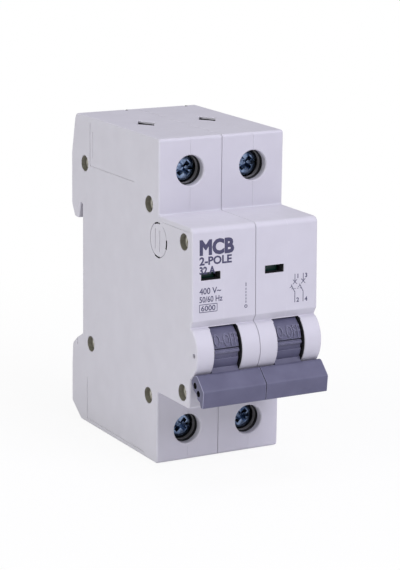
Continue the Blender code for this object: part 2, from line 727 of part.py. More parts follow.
def make_toggle(pole, x):
    half = POLE_WIDTH / 2 - 0.1
    bar = prism(x - half, x + half, bar_outline())
    toggle = add_part(pole + "_toggle", bar, "toggle", origin=place(x, *AXIS))
    relief = [cross_rod(x - half - 1.0, x - SLOT_HALF + 0.2, AXIS, CHEEK_RADIUS + GAP, sides=48),
              cross_rod(x + SLOT_HALF - 0.2, x + half + 1.0, AXIS, CHEEK_RADIUS + GAP, sides=48)]
    boolean(toggle, "DIFFERENCE", add_cutter(pole + "_cheek_relief", gather("relief", relief)))
    drum = cross_rod(x - DRUM_HALF, x + DRUM_HALF, AXIS, DRUM_RADIUS, sides=32)
    trunnion = cross_rod(x - TRUNNION_REACH, x + TRUNNION_REACH, AXIS, TRUNNION_RADIUS)
    boolean(toggle, "UNION", add_cutter(pole + "_drum", drum), add_cutter(pole + "_trunnion", trunnion))
    pin_bore = BAR_PIN_RADIUS + GAP
    holes = [cross_rod(x - half - 1.0, x + half + 1.0, pin, pin_bore, sides=12) for pin in BAR_PINS]
    crank = polar(AXIS, CRANK_RADIUS, CRANK_ANGLE)
    holes.append(cross_rod(x + 1.6, x + DRUM_HALF + 1.0, crank, 1.0, sides=12))
    boolean(toggle, "DIFFERENCE", add_cutter(pole + "_toggle_holes", gather("holes", holes)))


def make_toggle_linkage(pole, x):
    """The spring round the toggle's trunnion, and the bent wire link from its crank."""
    spring = helix_x(x - 5.4, x - 4.3, AXIS, TRUNNION_RADIUS + 0.8, turns=2, steps=9)
    add_part(pole + "_toggle_spring", wire(spring, 0.25), "steel", smooth=True)
    crank = polar(AXIS, CRANK_RADIUS, CRANK_ANGLE)
    route = [(x + 2.2, *crank), (x + 4.5, *crank), (x + 4.5, *ARM_LUG), (x + 3.8, *ARM_LUG)]
    add_part(pole + "_drive_link", wire(route, 0.5), "steel", smooth=True, origin=place(x, *crank))


# Pieces that run through both poles

def make_rivets():
    reach = OVERALL_WIDTH / 2
    head_floor = reach - RIVET_RECESS_DEEP + GAP
    head_top = head_floor + RIVET_HEAD_THICK
    shaft_reach = head_floor + RIVET_HEAD_THICK / 2
    for label, center in RIVETS.items():
        shaft = cross_rod(-shaft_reach, shaft_reach, center, RIVET_SHAFT_RADIUS, sides=8)
        rivet = add_part("rivet_" + label, shaft, "steel", smooth=True)
        heads = [cross_rod(head_floor, head_top, center, RIVET_HEAD_RADIUS),
                 cross_rod(-head_top, -head_floor, center, RIVET_HEAD_RADIUS)]
        boolean(rivet, "UNION", add_cutter(f"rivet_{label}_heads", gather("heads", heads)))


def make_coupling_pieces():
    """The pins that tie the two toggles, and the bar that trips both poles together."""
    tie_reach = 14.0
    for number, center in enumerate(BAR_PINS, start=1):
        pin = cross_rod(-tie_reach, tie_reach, center, BAR_PIN_RADIUS, sides=12)
        add_part(f"tie_pin_{number}", pin, "steel", smooth=True)
    low = POLES["pole_1"] + TRIP_LEVER_SIDES[0] + 0.1
    high = POLES["pole_2"] + TRIP_LEVER_SIDES[1] - 0.1
    add_part("trip_coupling_bar", cross_rod(low, high, TRIP_BAR, TRIP_BAR_RADIUS), "steel", smooth=True)


def main():
    for pole, x in POLES.items():
        make_housing(pole, x)
        make_din_clip(pole, x)
        for label, height, _, _ in terminal_rows():
            make_screw(f"{pole}_{label}_screw", x, height)
            make_cage(f"{pole}_{label}_cage", x, height)
        make_conductors(pole, x)
        make_solenoid(pole, x)
        make_plunger(pole, x)
        make_bimetal_and_braid(pole, x)
        make_arc_chute(pole, x)
        make_contact_arm(pole, x)
        make_arm_pivot(pole, x)
        make_trip_lever(pole, x)
        make_indicator(pole, x)
        make_toggle(pole, x)
        make_toggle_linkage(pole, x)
    make_rivets()
    make_coupling_pieces()



main()
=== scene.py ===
import json
import math

import bmesh
import bpy
from mathutils import Matrix, Vector


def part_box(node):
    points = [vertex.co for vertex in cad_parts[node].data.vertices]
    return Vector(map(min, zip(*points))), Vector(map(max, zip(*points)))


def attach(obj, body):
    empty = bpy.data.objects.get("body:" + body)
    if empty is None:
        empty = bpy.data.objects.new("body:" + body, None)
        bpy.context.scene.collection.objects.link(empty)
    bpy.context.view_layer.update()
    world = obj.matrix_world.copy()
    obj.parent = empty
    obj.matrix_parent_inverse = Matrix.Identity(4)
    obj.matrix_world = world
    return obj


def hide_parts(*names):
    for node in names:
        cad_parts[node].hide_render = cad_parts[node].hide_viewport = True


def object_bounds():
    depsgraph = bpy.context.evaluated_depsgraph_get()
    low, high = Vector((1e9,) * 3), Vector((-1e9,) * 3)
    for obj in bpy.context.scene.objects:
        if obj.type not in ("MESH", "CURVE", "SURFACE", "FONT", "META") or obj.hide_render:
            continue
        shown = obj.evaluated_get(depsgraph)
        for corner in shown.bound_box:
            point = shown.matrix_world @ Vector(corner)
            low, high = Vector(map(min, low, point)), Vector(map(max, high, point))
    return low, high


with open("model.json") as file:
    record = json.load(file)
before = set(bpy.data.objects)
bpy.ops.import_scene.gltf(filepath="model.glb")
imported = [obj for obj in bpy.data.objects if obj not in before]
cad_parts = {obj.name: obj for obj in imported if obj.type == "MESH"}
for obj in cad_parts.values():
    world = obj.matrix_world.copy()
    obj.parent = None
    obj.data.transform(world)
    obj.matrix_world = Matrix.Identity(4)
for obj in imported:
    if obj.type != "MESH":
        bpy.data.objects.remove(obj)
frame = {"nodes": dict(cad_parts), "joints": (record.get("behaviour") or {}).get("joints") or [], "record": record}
CAD_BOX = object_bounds()

# Looks for a two-pole miniature circuit breaker.  Depths are millimetres ahead of the rail
# seat, heights are millimetres above the bottom face, and x is measured from a pole's middle.

MM = 0.001
SEAT_Y = next(m["pos_m"][1] for m in frame["record"]["mounts"] if m["name"] == "pole_1_rail_seat")
JOINTS = {joint["name"]: joint for joint in frame["joints"]}


def node_center(node):
    low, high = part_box(node)
    return (Vector(low) + Vector(high)) / 2


def depth_of(y):
    return (SEAT_Y - y) / MM


POLES = {pole: node_center(pole + "_upper_screw").x / MM for pole in ("pole_1", "pole_2")}
POLE_PITCH = POLES["pole_2"] - POLES["pole_1"]
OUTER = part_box("pole_2_right_shell")[1][0] / MM
OUTER_SIDE = {"pole_1": -1, "pole_2": 1}
HEIGHT = CAD_BOX[1][2] / MM
AXIS = (depth_of(JOINTS["toggle"]["pos_m"][1]), JOINTS["toggle"]["pos_m"][2] / MM)
TOGGLE_SWING = max(abs(limit) for limit in JOINTS["toggle"]["range_deg"])
TRIP_BAR = (depth_of(node_center("trip_coupling_bar").y), node_center("trip_coupling_bar").z / MM)
POLE_SEAM = 0.05                # half of the gap between the poles
BAR_SEAM = 0.12                 # half of the gap between the two handles
SHELL_SEAM = 0.005              # half of the gap between a pole's two shells
SIDE_WALL = 2.4
INNER_WALL = 1.5
SHOULDER_DEPTH = 43.2
NOSE_DEPTH = 60.5
NOSE_BOTTOM = 18.9
NOSE_TOP = 64.2
LIP_BOTTOM = (60.0, 39.3)       # the inner corner under the nose's lip
LIP_TOP = 41.2
NOSE_LEAN = 0.6                 # how far the nose's front comes forward from its top to its lip
REAR_DEPTH = -6.6
RAIL_RECESS_BOTTOM = 24.2
RAIL_SLOT_TOP = 59.6
CHEEK_RADIUS = 7.8
DRUM_RADIUS = 6.75
DRUM_HALF = 3.45
SLOT_HALF = 3.9
SCREW_BORE_RADIUS = 3.85
SCREW_BORE_DEEP = 8.0
BORE_MOUTH_RADIUS = 4.1
BORE_GROOVE_RADIUS = 4.5
BORE_GROOVE = (2.0, 2.9)        # where the groove starts and ends behind the mouth
BORE_COLLAR_END = 4.1
BORE_WIDE_RADIUS = 4.7
FUNNEL_HALF = 4.7
FUNNEL_DEEP = 0.15
WIRE_HALF = (2.5, 4.3)          # the wire's opening, across and in depth
WIRE_EDGE_DEEP = 0.6
RIVET_RECESS_RADIUS = 2.1
RIVET_RECESS_DEEP = 1.7
KNOCK_OUT_RADIUS = 4.33
SCREW_HEAD_DEPTH = 39.4
SCREW_HEAD_RADIUS = 3.35
THREAD_RADIUS = 2.4
THREAD_ROOT_RADIUS = 2.1
THREAD_PITCH = 0.8
WIRE_DEPTH = 19.3
WIRE_ROOM_DEEP = 4.6
LATCH_ROOM_TOP = 24.5
TRUNNION_REACH = 5.4
WINDOW_X = -3.7
WINDOW_HEIGHT = 52.3
TERMINALS = {
    "upper": (node_center("pole_1_upper_screw").z / MM, HEIGHT, 1),
    "lower": (node_center("pole_1_lower_screw").z / MM, 0.0, -1),
}
BAR_PINS = ((62.9, 25.7), (64.6, 24.1))
BAR_PIN_HOLE = 0.85
LETTER_ANGLE = 27.0             # the middle of the drum's OFF letters
PRINT_THICK = 0.024
HEAVY, BOLD, MEDIUM, LIGHT = 0.26, 0.1, 0.05, 0.035     # how far letters are emboldened
CAMERA_ANGLES = (-28.96, 13.38, 0.70)                   # azimuth, elevation and roll
CAMERA_TARGET = (0.0, 0.0003, 0.041)
CAMERA_DISTANCE = 0.5559
CAMERA_OFFSET = (0.0013, 0.00101)                       # to the right and up
CAMERA_SENSOR = 36.0
CAMERA_LENS = 135.9
RIVETS = {name: (depth_of(node_center(name).y), node_center(name).z / MM)
          for name in sorted(frame["nodes"]) if name.startswith("rivet_")}


def place(x, depth, height):
    """The position in metres of a point given in millimetres."""
    return Vector((x * MM, SEAT_Y - depth * MM, height * MM))


def polar(center, radius, degrees):
    angle = math.radians(degrees)
    return (center[0] + radius * math.cos(angle), center[1] + radius * math.sin(angle))


def arc(center, radius, start, end, steps):
    return [polar(center, radius, start + (end - start) * i / steps) for i in range(steps + 1)]


def rounded(corners, steps=5):
    """A flat outline from (a, b, radius) corners, each one rounded with an arc."""
    points = []
    count = len(corners)
    for i, (a, b, radius) in enumerate(corners):
        corner = Vector((a, b))
        if radius == 0.0:
            points.append((a, b))
            continue
        before = (Vector(corners[i - 1][:2]) - corner).normalized()
        after = (Vector(corners[(i + 1) % count][:2]) - corner).normalized()
        half = before.angle(after) / 2
        center = corner + (before + after).normalized() * radius / math.sin(half)
        start = corner + before * radius / math.tan(half) - center
        end = corner + after * radius / math.tan(half) - center
        sweep = start.angle(end)
        for step in range(steps + 1):
            part = step / steps
            mix = start * math.sin((1 - part) * sweep) + end * math.sin(part * sweep)
            points.append(tuple(center + mix / math.sin(sweep)))
    return points


# Materials

def new_material(name):
    material = bpy.data.materials.new(name)
    material.use_nodes = True
    return material, material.node_tree.nodes, material.node_tree.links


def object_noise(nodes, links, scale, detail=3.0, stretch=(1.0, 1.0, 1.0)):
    """Noise in object space, in metres, so it keeps its scale on every piece."""
    coordinates = nodes.new("ShaderNodeTexCoord")
    mapping = nodes.new("ShaderNodeMapping")
    mapping.inputs["Scale"].default_value = stretch
    noise = nodes.new("ShaderNodeTexNoise")
    noise.inputs["Scale"].default_value = scale
    noise.inputs["Detail"].default_value = detail
    links.new(coordinates.outputs["Object"], mapping.inputs["Vector"])
    links.new(mapping.outputs["Vector"], noise.inputs["Vector"])
    return noise.outputs["Fac"]


def remap(nodes, links, value, low, high, start=0.3, end=0.7):
    """A value taken from one range to another."""
    node = nodes.new("ShaderNodeMapRange")
    node.inputs["From Min"].default_value = start
    node.inputs["From Max"].default_value = end
    node.inputs["To Min"].default_value = low
    node.inputs["To Max"].default_value = high
    links.new(value, node.inputs["Value"])
    return node.outputs["Result"]


def mix_color(nodes, links, factor, first, second):
    """Two colours, or a colour and a socket, mixed by a factor socket."""
    mix = nodes.new("ShaderNodeMix")
    mix.data_type = "RGBA"
    links.new(factor, mix.inputs["Factor"])
    for socket, color in (("A", first), ("B", second)):
        target = next(s for s in mix.inputs if s.name == socket and s.type == "RGBA")
        if isinstance(color, tuple):
            target.default_value = (*color, 1.0)
        else:
            links.new(color, target)
    return next(s for s in mix.outputs if s.type == "RGBA")


def bump(nodes, links, heights, shader):
    """Bumps from (height socket, distance in metres) pairs, the coarsest first."""
    normal = None
    for height, distance in heights:
        node = nodes.new("ShaderNodeBump")
        node.inputs["Strength"].default_value = 1.0
        node.inputs["Distance"].default_value = distance
        links.new(height, node.inputs["Height"])
        if normal is not None:
            links.new(normal, node.inputs["Normal"])
        normal = node.outputs["Normal"]
    links.new(normal, shader.inputs["Normal"])


def edge_wear_and_highlight(nodes, links, radius):
    """One along edges, within a radius in metres, and zero elsewhere, broken up a little."""
    rounded_normal = nodes.new("ShaderNodeBevel")
    rounded_normal.samples = 6
    rounded_normal.inputs["Radius"].default_value = radius
    likeness = nodes.new("ShaderNodeVectorMath")
    likeness.operation = "DOT_PRODUCT"
    links.new(rounded_normal.outputs["Normal"], likeness.inputs[0])
    links.new(nodes.new("ShaderNodeNewGeometry").outputs["Normal"], likeness.inputs[1])
    patches = remap(nodes, links, object_noise(nodes, links, 900.0), 0.35, 1.0)
    edge = remap(nodes, links, likeness.outputs["Value"], 1.0, 0.0, 0.85, 0.995)
    product = nodes.new("ShaderNodeMath")
    product.operation = "MULTIPLY"
    links.new(edge, product.inputs[0])
    links.new(patches, product.inputs[1])
    return product.outputs["Value"]


def moulded_plastic(name, color, shade, edge_tone, roughness, grain, edge_reach=0.00015):
    """Matt moulded thermoplastic: mottled tone, spark-eroded grain, and paler edges, rubbed, and on the toggle
    also a painted highlight.
    """
    material, nodes, links = new_material(name)
    shader = nodes["Principled BSDF"]
    mottle = remap(nodes, links, object_noise(nodes, links, 160.0, 5.0), 0.0, 1.0)
    tone = mix_color(nodes, links, mottle, color, shade)
    edged_tone = mix_color(nodes, links, edge_wear_and_highlight(nodes, links, edge_reach), tone, edge_tone)
    links.new(edged_tone, shader.inputs["Base Color"])
    sheen_patches = object_noise(nodes, links, 420.0, 4.0)
    gloss = remap(nodes, links, sheen_patches, roughness - 0.05, roughness + 0.06)
    links.new(gloss, shader.inputs["Roughness"])
    shader.inputs["Specular IOR Level"].default_value = 0.4
    fine = object_noise(nodes, links, 5200.0, 2.0)
    flow = object_noise(nodes, links, 55.0, 2.0)
    bump(nodes, links, ((flow, 0.00006), (fine, grain)), shader)
    return material


def plated_metal(name, color, tarnish, roughness, stretch=(1.0, 1.0, 1.0)):
    """Plated or drawn metal with fine scratches, cloudy tarnish and uneven gloss."""
    material, nodes, links = new_material(name)
    shader = nodes["Principled BSDF"]
    shader.inputs["Metallic"].default_value = 1.0
    clouds = remap(nodes, links, object_noise(nodes, links, 700.0, 5.0), 0.0, 1.0)
    links.new(mix_color(nodes, links, clouds, color, tarnish), shader.inputs["Base Color"])
    streaks = object_noise(nodes, links, 3000.0, 4.0, stretch)
    links.new(remap(nodes, links, streaks, roughness - 0.08, roughness + 0.14), shader.inputs["Roughness"])
    bump(nodes, links, ((streaks, 0.000006),), shader)
    return material


def indicator_plastic(name, split):
    """The flag: green above the split, and red below it, which shows when the toggle is on."""
    material, nodes, links = new_material(name)
    shader = nodes["Principled BSDF"]
    coordinates = nodes.new("ShaderNodeTexCoord")
    axes = nodes.new("ShaderNodeSeparateXYZ")
    links.new(coordinates.outputs["Object"], axes.inputs["Vector"])
    above = remap(nodes, links, axes.outputs["Z"], 0.0, 1.0, split - 0.00002, split + 0.00002)
    clouds = object_noise(nodes, links, 500.0)
    # The green is darkened: painted shade from the window's walls.
    green_tone = mix_color(nodes, links, clouds, (0.004, 0.040, 0.028), (0.008, 0.062, 0.042))
    links.new(mix_color(nodes, links, above, (0.30, 0.012, 0.01), green_tone), shader.inputs["Base Color"])
    gloss = object_noise(nodes, links, 800.0)
    links.new(remap(nodes, links, gloss, 0.25, 0.4), shader.inputs["Roughness"])
    bump(nodes, links, ((object_noise(nodes, links, 2500.0), 0.00001),), shader)
    return material


def printed_ink(name):
    material, nodes, links = new_material(name)
    shader = nodes["Principled BSDF"]
    cover = remap(nodes, links, object_noise(nodes, links, 4000.0), 0.0, 1.0)
    tone = mix_color(nodes, links, cover, (0.044, 0.042, 0.094), (0.064, 0.061, 0.124))
    links.new(tone, shader.inputs["Base Color"])
    links.new(remap(nodes, links, object_noise(nodes, links, 1500.0), 0.45, 0.6), shader.inputs["Roughness"])
    bump(nodes, links, ((object_noise(nodes, links, 6000.0), 0.000004),), shader)
    return material


HOUSING = moulded_plastic("housing_plastic", (0.600, 0.592, 0.638), (0.575, 0.566, 0.612), (0.70, 0.69, 0.72),
                          0.50, 0.000010)
# Painted shade: near-black for the walls of the bores, wire entries, drum slots, grooves, window and pin holes,
# where shade falls.
PAINTED_SHADE_BLACK = moulded_plastic("painted_shade_black", (0.020, 0.020, 0.022), (0.014, 0.014, 0.016), (0.04, 0.04, 0.045),
                         0.55, 0.00001)
# Painted shade: a mid grey on the housing's collar deep in each terminal bore.
COLLAR_SHADE_GREY = moulded_plastic("collar_painted_shade", (0.36, 0.35, 0.34), (0.30, 0.295, 0.285), (0.42, 0.415, 0.41),
                         0.5, 0.00001)
# Painted shade: a brownish grey on the housing's walls inside the rivet recesses.
RIVET_RECESS_SHADE = moulded_plastic("rivet_recess_painted_shade", (0.25, 0.24, 0.195), (0.19, 0.185, 0.15), (0.32, 0.31, 0.27),
                         0.45, 0.00001)
# The toggle's pale edge colour is partly a painted highlight along its ridges, partly wear.
TOGGLE = moulded_plastic("toggle_plastic", (0.124, 0.124, 0.193), (0.094, 0.094, 0.154), (0.34, 0.34, 0.45),
                         0.46, 0.000014, edge_reach=0.0002)
# Painted highlight, with some wear: a paler colour on the handle bar's rounded edges.
TOGGLE_EDGE_WEAR_AND_HIGHLIGHT = moulded_plastic("toggle_edge_wear_and_painted_highlight", (0.30, 0.30, 0.40), (0.22, 0.22, 0.31), (0.40, 0.40, 0.50),
                              0.35, 0.000014)
NYLON = moulded_plastic("natural_nylon", (0.62, 0.60, 0.62), (0.56, 0.54, 0.55), (0.74, 0.73, 0.72),
                        0.45, 0.00001)
ZINC = plated_metal("blue_zinc", (0.30, 0.39, 0.52), (0.02, 0.045, 0.10), 0.13)
STEEL = plated_metal("drawn_steel", (0.48, 0.47, 0.44), (0.33, 0.32, 0.27), 0.34, (1.0, 1.0, 0.08))
RIVET_STEEL = plated_metal("rivet_steel", (0.86, 0.85, 0.76), (0.62, 0.60, 0.50), 0.35)
COPPER = plated_metal("bare_copper", (0.72, 0.36, 0.22), (0.50, 0.24, 0.15), 0.3)
BRASS = plated_metal("rolled_brass", (0.72, 0.56, 0.28), (0.50, 0.38, 0.20), 0.3)
INK = printed_ink("print_ink")


# Shapes, as meshes in metres

def side_frame(x, depth=0.0, height=0.0):
    """Its X is depth, its Y is height and its Z runs towards -X."""
    turn = Matrix(((0, 0, -1), (-1, 0, 0), (0, 1, 0))).to_4x4()
    return Matrix.Translation(place(x, depth, height)) @ turn


def front_frame(x, depth, height):
    """Its X is x, its Y is height and its Z runs forwards."""
    turn = Matrix(((1, 0, 0), (0, 0, -1), (0, 1, 0))).to_4x4()
    return Matrix.Translation(place(x, depth, height)) @ turn


def upright_frame(x, depth, height, outward=1):
    """Its Z runs up, or down where outward is -1."""
    turn = Matrix.Rotation(math.radians(0 if outward > 0 else 180), 4, "X")
    return Matrix.Translation(place(x, depth, height)) @ turn


def finish_bmesh(work):
    """The finished mesh, with its faces pointing outwards."""
    bmesh.ops.remove_doubles(work, verts=work.verts, dist=0.00000005)
    bmesh.ops.recalc_face_normals(work, faces=work.faces)
    mesh = bpy.data.meshes.new("shape")
    work.to_mesh(mesh)
    work.free()
    return mesh


def extrude_outline(outline, low, high, matrix):
    """A closed outline thickened from low to high along its frame's Z, in millimetres."""
    work = bmesh.new()
    ring = [work.verts.new((a * MM, b * MM, low * MM)) for a, b in outline]
    face = work.faces.new(ring)
    grown = bmesh.ops.extrude_face_region(work, geom=[face])
    top = [item for item in grown["geom"] if isinstance(item, bmesh.types.BMVert)]
    bmesh.ops.translate(work, verts=top, vec=(0.0, 0.0, (high - low) * MM))
    bmesh.ops.transform(work, matrix=matrix, verts=work.verts)
    return finish_bmesh(work)


def prism(x_low, x_high, outline):
    """A (depth, height) outline thickened along X."""
    return extrude_outline(outline, -x_high, -x_low, side_frame(0.0))


def turned(profile, matrix, steps=48):
    """A closed solid turned about its frame's Z from (radius, height) points, axis to axis."""
    work = bmesh.new()
    verts = [work.verts.new((radius * MM, 0.0, height * MM)) for radius, height in profile]
    edges = [work.edges.new(pair) for pair in zip(verts, verts[1:])]
    bmesh.ops.spin(work, geom=verts + edges, cent=(0, 0, 0), axis=(0, 0, 1), angle=math.tau, steps=steps,
                   use_merge=True)
    bmesh.ops.transform(work, matrix=matrix, verts=work.verts)
    return finish_bmesh(work)


def swept_sector(profile, matrix, start, end, steps=36):
    """A closed (radius, height) profile swept part of a turn about its frame's Z."""
    work = bmesh.new()
    turn = Matrix.Rotation(math.radians(start), 4, "Z")
    verts = [work.verts.new(turn @ Vector((radius * MM, 0.0, height * MM))) for radius, height in profile]
    face = work.faces.new(verts)
    bmesh.ops.spin(work, geom=[face, *face.verts, *face.edges], cent=(0, 0, 0), axis=(0, 0, 1),
                   angle=math.radians(end - start), steps=steps)
    bmesh.ops.transform(work, matrix=matrix, verts=work.verts)
    return finish_bmesh(work)


def cross_rod(x_low, x_high, center, radius, steps=40):
    """A cylinder along X at a (depth, height) point."""
    profile = [(0.0, -x_low), (radius, -x_low), (radius, -x_high), (0.0, -x_high)]
    return turned(profile, side_frame(0.0, *center), steps)


def block(x_low, x_high, depth_low, depth_high, low, high):
    corners = [(depth_low, low), (depth_high, low), (depth_high, high), (depth_low, high)]
    return prism(x_low, x_high, corners)


def four_sided(x, mouth, outward, low, high):
    """A four-sided solid with its corners to the front, rear and sides, in a wire's entry.

    Both ends are (half width, half depth, height above the mouth).
    """
    work = bmesh.new()
    rings = []
    for half_width, half_depth, height in (low, high):
        corners = ((half_width, 0.0), (0.0, half_depth), (-half_width, 0.0), (0.0, -half_depth))
        rings.append([work.verts.new((a * MM, b * MM, height * MM)) for a, b in corners])
    for i in range(4):
        work.faces.new((rings[0][i], rings[0][(i + 1) % 4], rings[1][(i + 1) % 4], rings[1][i]))
    for ring in rings:
        work.faces.new(ring)
    bmesh.ops.transform(work, matrix=upright_frame(x, WIRE_DEPTH, mouth, outward), verts=work.verts)
    return finish_bmesh(work)


def gather(meshes):
    """Several meshes as one."""
    work = bmesh.new()
    for mesh in meshes:
        work.from_mesh(mesh)
    joined = bpy.data.meshes.new("gathered")
    work.to_mesh(joined)
    work.free()
    return joined


def boolean_mesh(mesh, operation, tools):
    """The mesh cut by, or joined to, each tool in turn, with the modifiers applied."""
    target = bpy.data.objects.new("target", mesh)
    bpy.context.scene.collection.objects.link(target)
    helpers = []
    for tool in tools:
        helper = bpy.data.objects.new("tool", tool)
        bpy.context.scene.collection.objects.link(helper)
        modifier = target.modifiers.new("cut", "BOOLEAN")
        modifier.operation = operation
        modifier.solver = "EXACT"
        modifier.object = helper
        helpers.append(helper)
    bpy.context.view_layer.update()
    graph = bpy.context.evaluated_depsgraph_get()
    result = bpy.data.meshes.new_from_object(target.evaluated_get(graph))
    for item in (target, *helpers):
        bpy.data.objects.remove(item, do_unlink=True)
    return result


def bevelled(mesh, width, segments=3, angle=40.0, weights=None, materials=(), clamp=False):
    """The mesh with its sharp edges rounded, or those that a weight function picks.

    Where materials are given, the rounded strips take the last of them.
    """
    for material in materials:
        mesh.materials.append(material)
    work = bmesh.new()
    work.from_mesh(mesh)
    if weights is not None:
        layer = work.edges.layers.float.new("bevel_weight_edge")
        for edge in work.edges:
            if edge.is_manifold and edge.calc_face_angle(0.0) > math.radians(angle):
                edge[layer] = weights(edge)
    work.to_mesh(mesh)
    work.free()
    target = bpy.data.objects.new("target", mesh)
    bpy.context.scene.collection.objects.link(target)
    modifier = target.modifiers.new("edges", "BEVEL")
    modifier.width = width * MM
    modifier.segments = segments
    modifier.use_clamp_overlap = clamp
    modifier.material = len(materials) - 1
    modifier.limit_method = "ANGLE" if weights is None else "WEIGHT"
    modifier.angle_limit = math.radians(angle)
    bpy.context.view_layer.update()
    graph = bpy.context.evaluated_depsgraph_get()
    result = bpy.data.meshes.new_from_object(target.evaluated_get(graph))
    bpy.data.objects.remove(target, do_unlink=True)
    return result


def add_piece(name, mesh, materials, body, replaced=(), smooth_angle=32.0):
    """A finished piece that rides on a body and may stand for CAD nodes."""
    mesh.name = name
    kept = [face.material_index for face in mesh.polygons]
    mesh.materials.clear()
    for material in materials:
        mesh.materials.append(material)
    for face, index in zip(mesh.polygons, kept):
        face.material_index = index
    mesh.shade_smooth()
    mesh.set_sharp_from_angle(angle=math.radians(smooth_angle))
    piece = bpy.data.objects.new(name, mesh)
    bpy.context.scene.collection.objects.link(piece)
    normals = piece.modifiers.new("flat_faces", "WEIGHTED_NORMAL")
    normals.keep_sharp = True
    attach(piece, body)
    if replaced:
        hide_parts(*replaced)
    return piece


# The housing

def housing_outline():
    """The side view of the housing, from the bottom of the front round to the rear."""
    cheek = arc(AXIS, CHEEK_RADIUS, -57.0, 50.0, 44)
    corners = [
        (SHOULDER_DEPTH, 0.0, 0.8),
        (SHOULDER_DEPTH, NOSE_BOTTOM, 0.6),
        (NOSE_DEPTH - 0.6, NOSE_BOTTOM, 0.8),
        *((depth, height, 0.0) for depth, height in cheek),
        (*LIP_BOTTOM, 0.2),
        (NOSE_DEPTH + NOSE_LEAN, LIP_TOP, 0.75),
        (NOSE_DEPTH, NOSE_TOP, 1.5),
        (SHOULDER_DEPTH, NOSE_TOP, 0.5),
        (SHOULDER_DEPTH, HEIGHT, 0.8),
        (-4.3, HEIGHT, 1.8),
        (REAR_DEPTH, 72.4, 4.0),
        (REAR_DEPTH, 58.6, 2.5),
        (-4.7, 55.3, 1.0),
        (-2.4, 55.3, 0.7),
        (-1.3, RAIL_SLOT_TOP, 0.5),
        (0.0, RAIL_SLOT_TOP, 0.5),
        (0.0, RAIL_RECESS_BOTTOM, 0.5),
        (-3.4, 22.4, 1.0),
        (REAR_DEPTH + 0.5, 20.3, 1.4),
        (REAR_DEPTH, 14.5, 2.0),
        (REAR_DEPTH, 3.9, 1.0),
        (-1.0, 0.0, 0.8),
    ]
    return rounded(corners)


def cavity_outline():
    """The hollow that holds the mechanism, walled off from the terminals' bores."""
    front = SHOULDER_DEPTH - SCREW_BORE_DEEP + 1.0
    bottom = NOSE_BOTTOM + INNER_WALL
    step = AXIS[0] - 6.5
    shelf = LIP_TOP + 1.0
    end_wall = 3.4
    rear = 1.8
    return [
        (front, end_wall), (front, bottom), (step, bottom), (step, shelf),
        (NOSE_DEPTH - INNER_WALL, shelf), (NOSE_DEPTH - INNER_WALL, NOSE_TOP - INNER_WALL),
        (front, NOSE_TOP - INNER_WALL), (front, HEIGHT - end_wall),
        (rear, HEIGHT - end_wall), (rear, end_wall),
    ]


def drum_slot(x):
    """The opening for the drum, with the cheeks' inner edges rounded."""
    edge = 0.35
    flare = [(SLOT_HALF + edge * (1 - math.cos(angle)), CHEEK_RADIUS - edge + edge * math.sin(angle))
             for angle in (math.radians(18.0 * i) for i in range(6))]
    half = [(DRUM_RADIUS - 0.2, SLOT_HALF)] + [(radius, reach) for reach, radius in flare]
    half.append((CHEEK_RADIUS + 0.6, SLOT_HALF + edge))
    profile = half + [(radius, -reach) for radius, reach in reversed(half)]
    return swept_sector(profile, side_frame(x, *AXIS), -75.0, 47.0)


def slot_top(x):
    """The top of the drum's opening, up to the nose's lip."""
    top = LIP_BOTTOM[1] - 0.02
    start = 45.0
    outline = arc(AXIS, DRUM_RADIUS - 0.2, start, 66.0, 8)
    outline += [(AXIS[0] + 2.6, top), (AXIS[0] + 6.2, top), polar(AXIS, CHEEK_RADIUS + 0.6, start)]
    return prism(x - SLOT_HALF + 0.01, x + SLOT_HALF - 0.01, outline)


def window_pocket(x):
    """The indicator window, whose walls draw in towards the flag."""
    outer = [(-2.6, -1.1), (2.75, -1.1), (2.75, 0.9), (-2.6, 0.9)]
    work = bmesh.new()
    rings = []
    for shrink, depth in ((0.84, NOSE_DEPTH - 2.25), (0.84, NOSE_DEPTH - 1.1), (1.0, NOSE_DEPTH + 0.15),
                          (1.06, NOSE_DEPTH + 0.6)):
        rings.append([work.verts.new(place(x + WINDOW_X + a * shrink, depth, WINDOW_HEIGHT + b * shrink))
                      for a, b in outer])
    for near, far in zip(rings, rings[1:]):
        for i in range(4):
            work.faces.new((near[i], near[(i + 1) % 4], far[(i + 1) % 4], far[i]))
    work.faces.new(rings[0])
    work.faces.new(rings[-1])
    return finish_bmesh(work)


def terminal_bore(x, height):
    """The bore in front of a terminal screw: its mouth, a groove, a collar and the wide part behind."""
    mouth = SHOULDER_DEPTH
    collar = SCREW_BORE_RADIUS - 0.23
    slope = 0.1
    groove_start, groove_end = (mouth - deep for deep in BORE_GROOVE)
    collar_end = mouth - BORE_COLLAR_END
    bottom = mouth - SCREW_BORE_DEEP
    profile = [
        (0.0, mouth + 0.3), (BORE_MOUTH_RADIUS, mouth + 0.3), (BORE_MOUTH_RADIUS, mouth + 0.02),
        (SCREW_BORE_RADIUS, mouth - 0.25), (SCREW_BORE_RADIUS, groove_start),
        (BORE_GROOVE_RADIUS, groove_start - slope), (BORE_GROOVE_RADIUS, groove_end + slope),
        (collar, groove_end), (collar, collar_end), (BORE_WIDE_RADIUS, collar_end - slope),
        (BORE_WIDE_RADIUS, bottom), (0.0, bottom),
    ]
    return turned(profile, front_frame(x, 0.0, height), 56)


def rivet_recess(x_face, side, center):
    """A round recess in a side face, and the way through for the rivet."""
    radius = RIVET_RECESS_RADIUS
    floor = -RIVET_RECESS_DEEP
    profile = [(0.0, 0.2), (radius + 0.2, 0.2), (radius + 0.2, 0.02), (radius, -0.15), (radius, floor),
               (1.4, floor), (1.4, -4.0), (0.0, -4.0)]
    frame_matrix = side_frame(x_face, *center)
    if side > 0:
        frame_matrix = frame_matrix @ Matrix.Rotation(math.pi, 4, "X")
    return turned(profile, frame_matrix, 36)


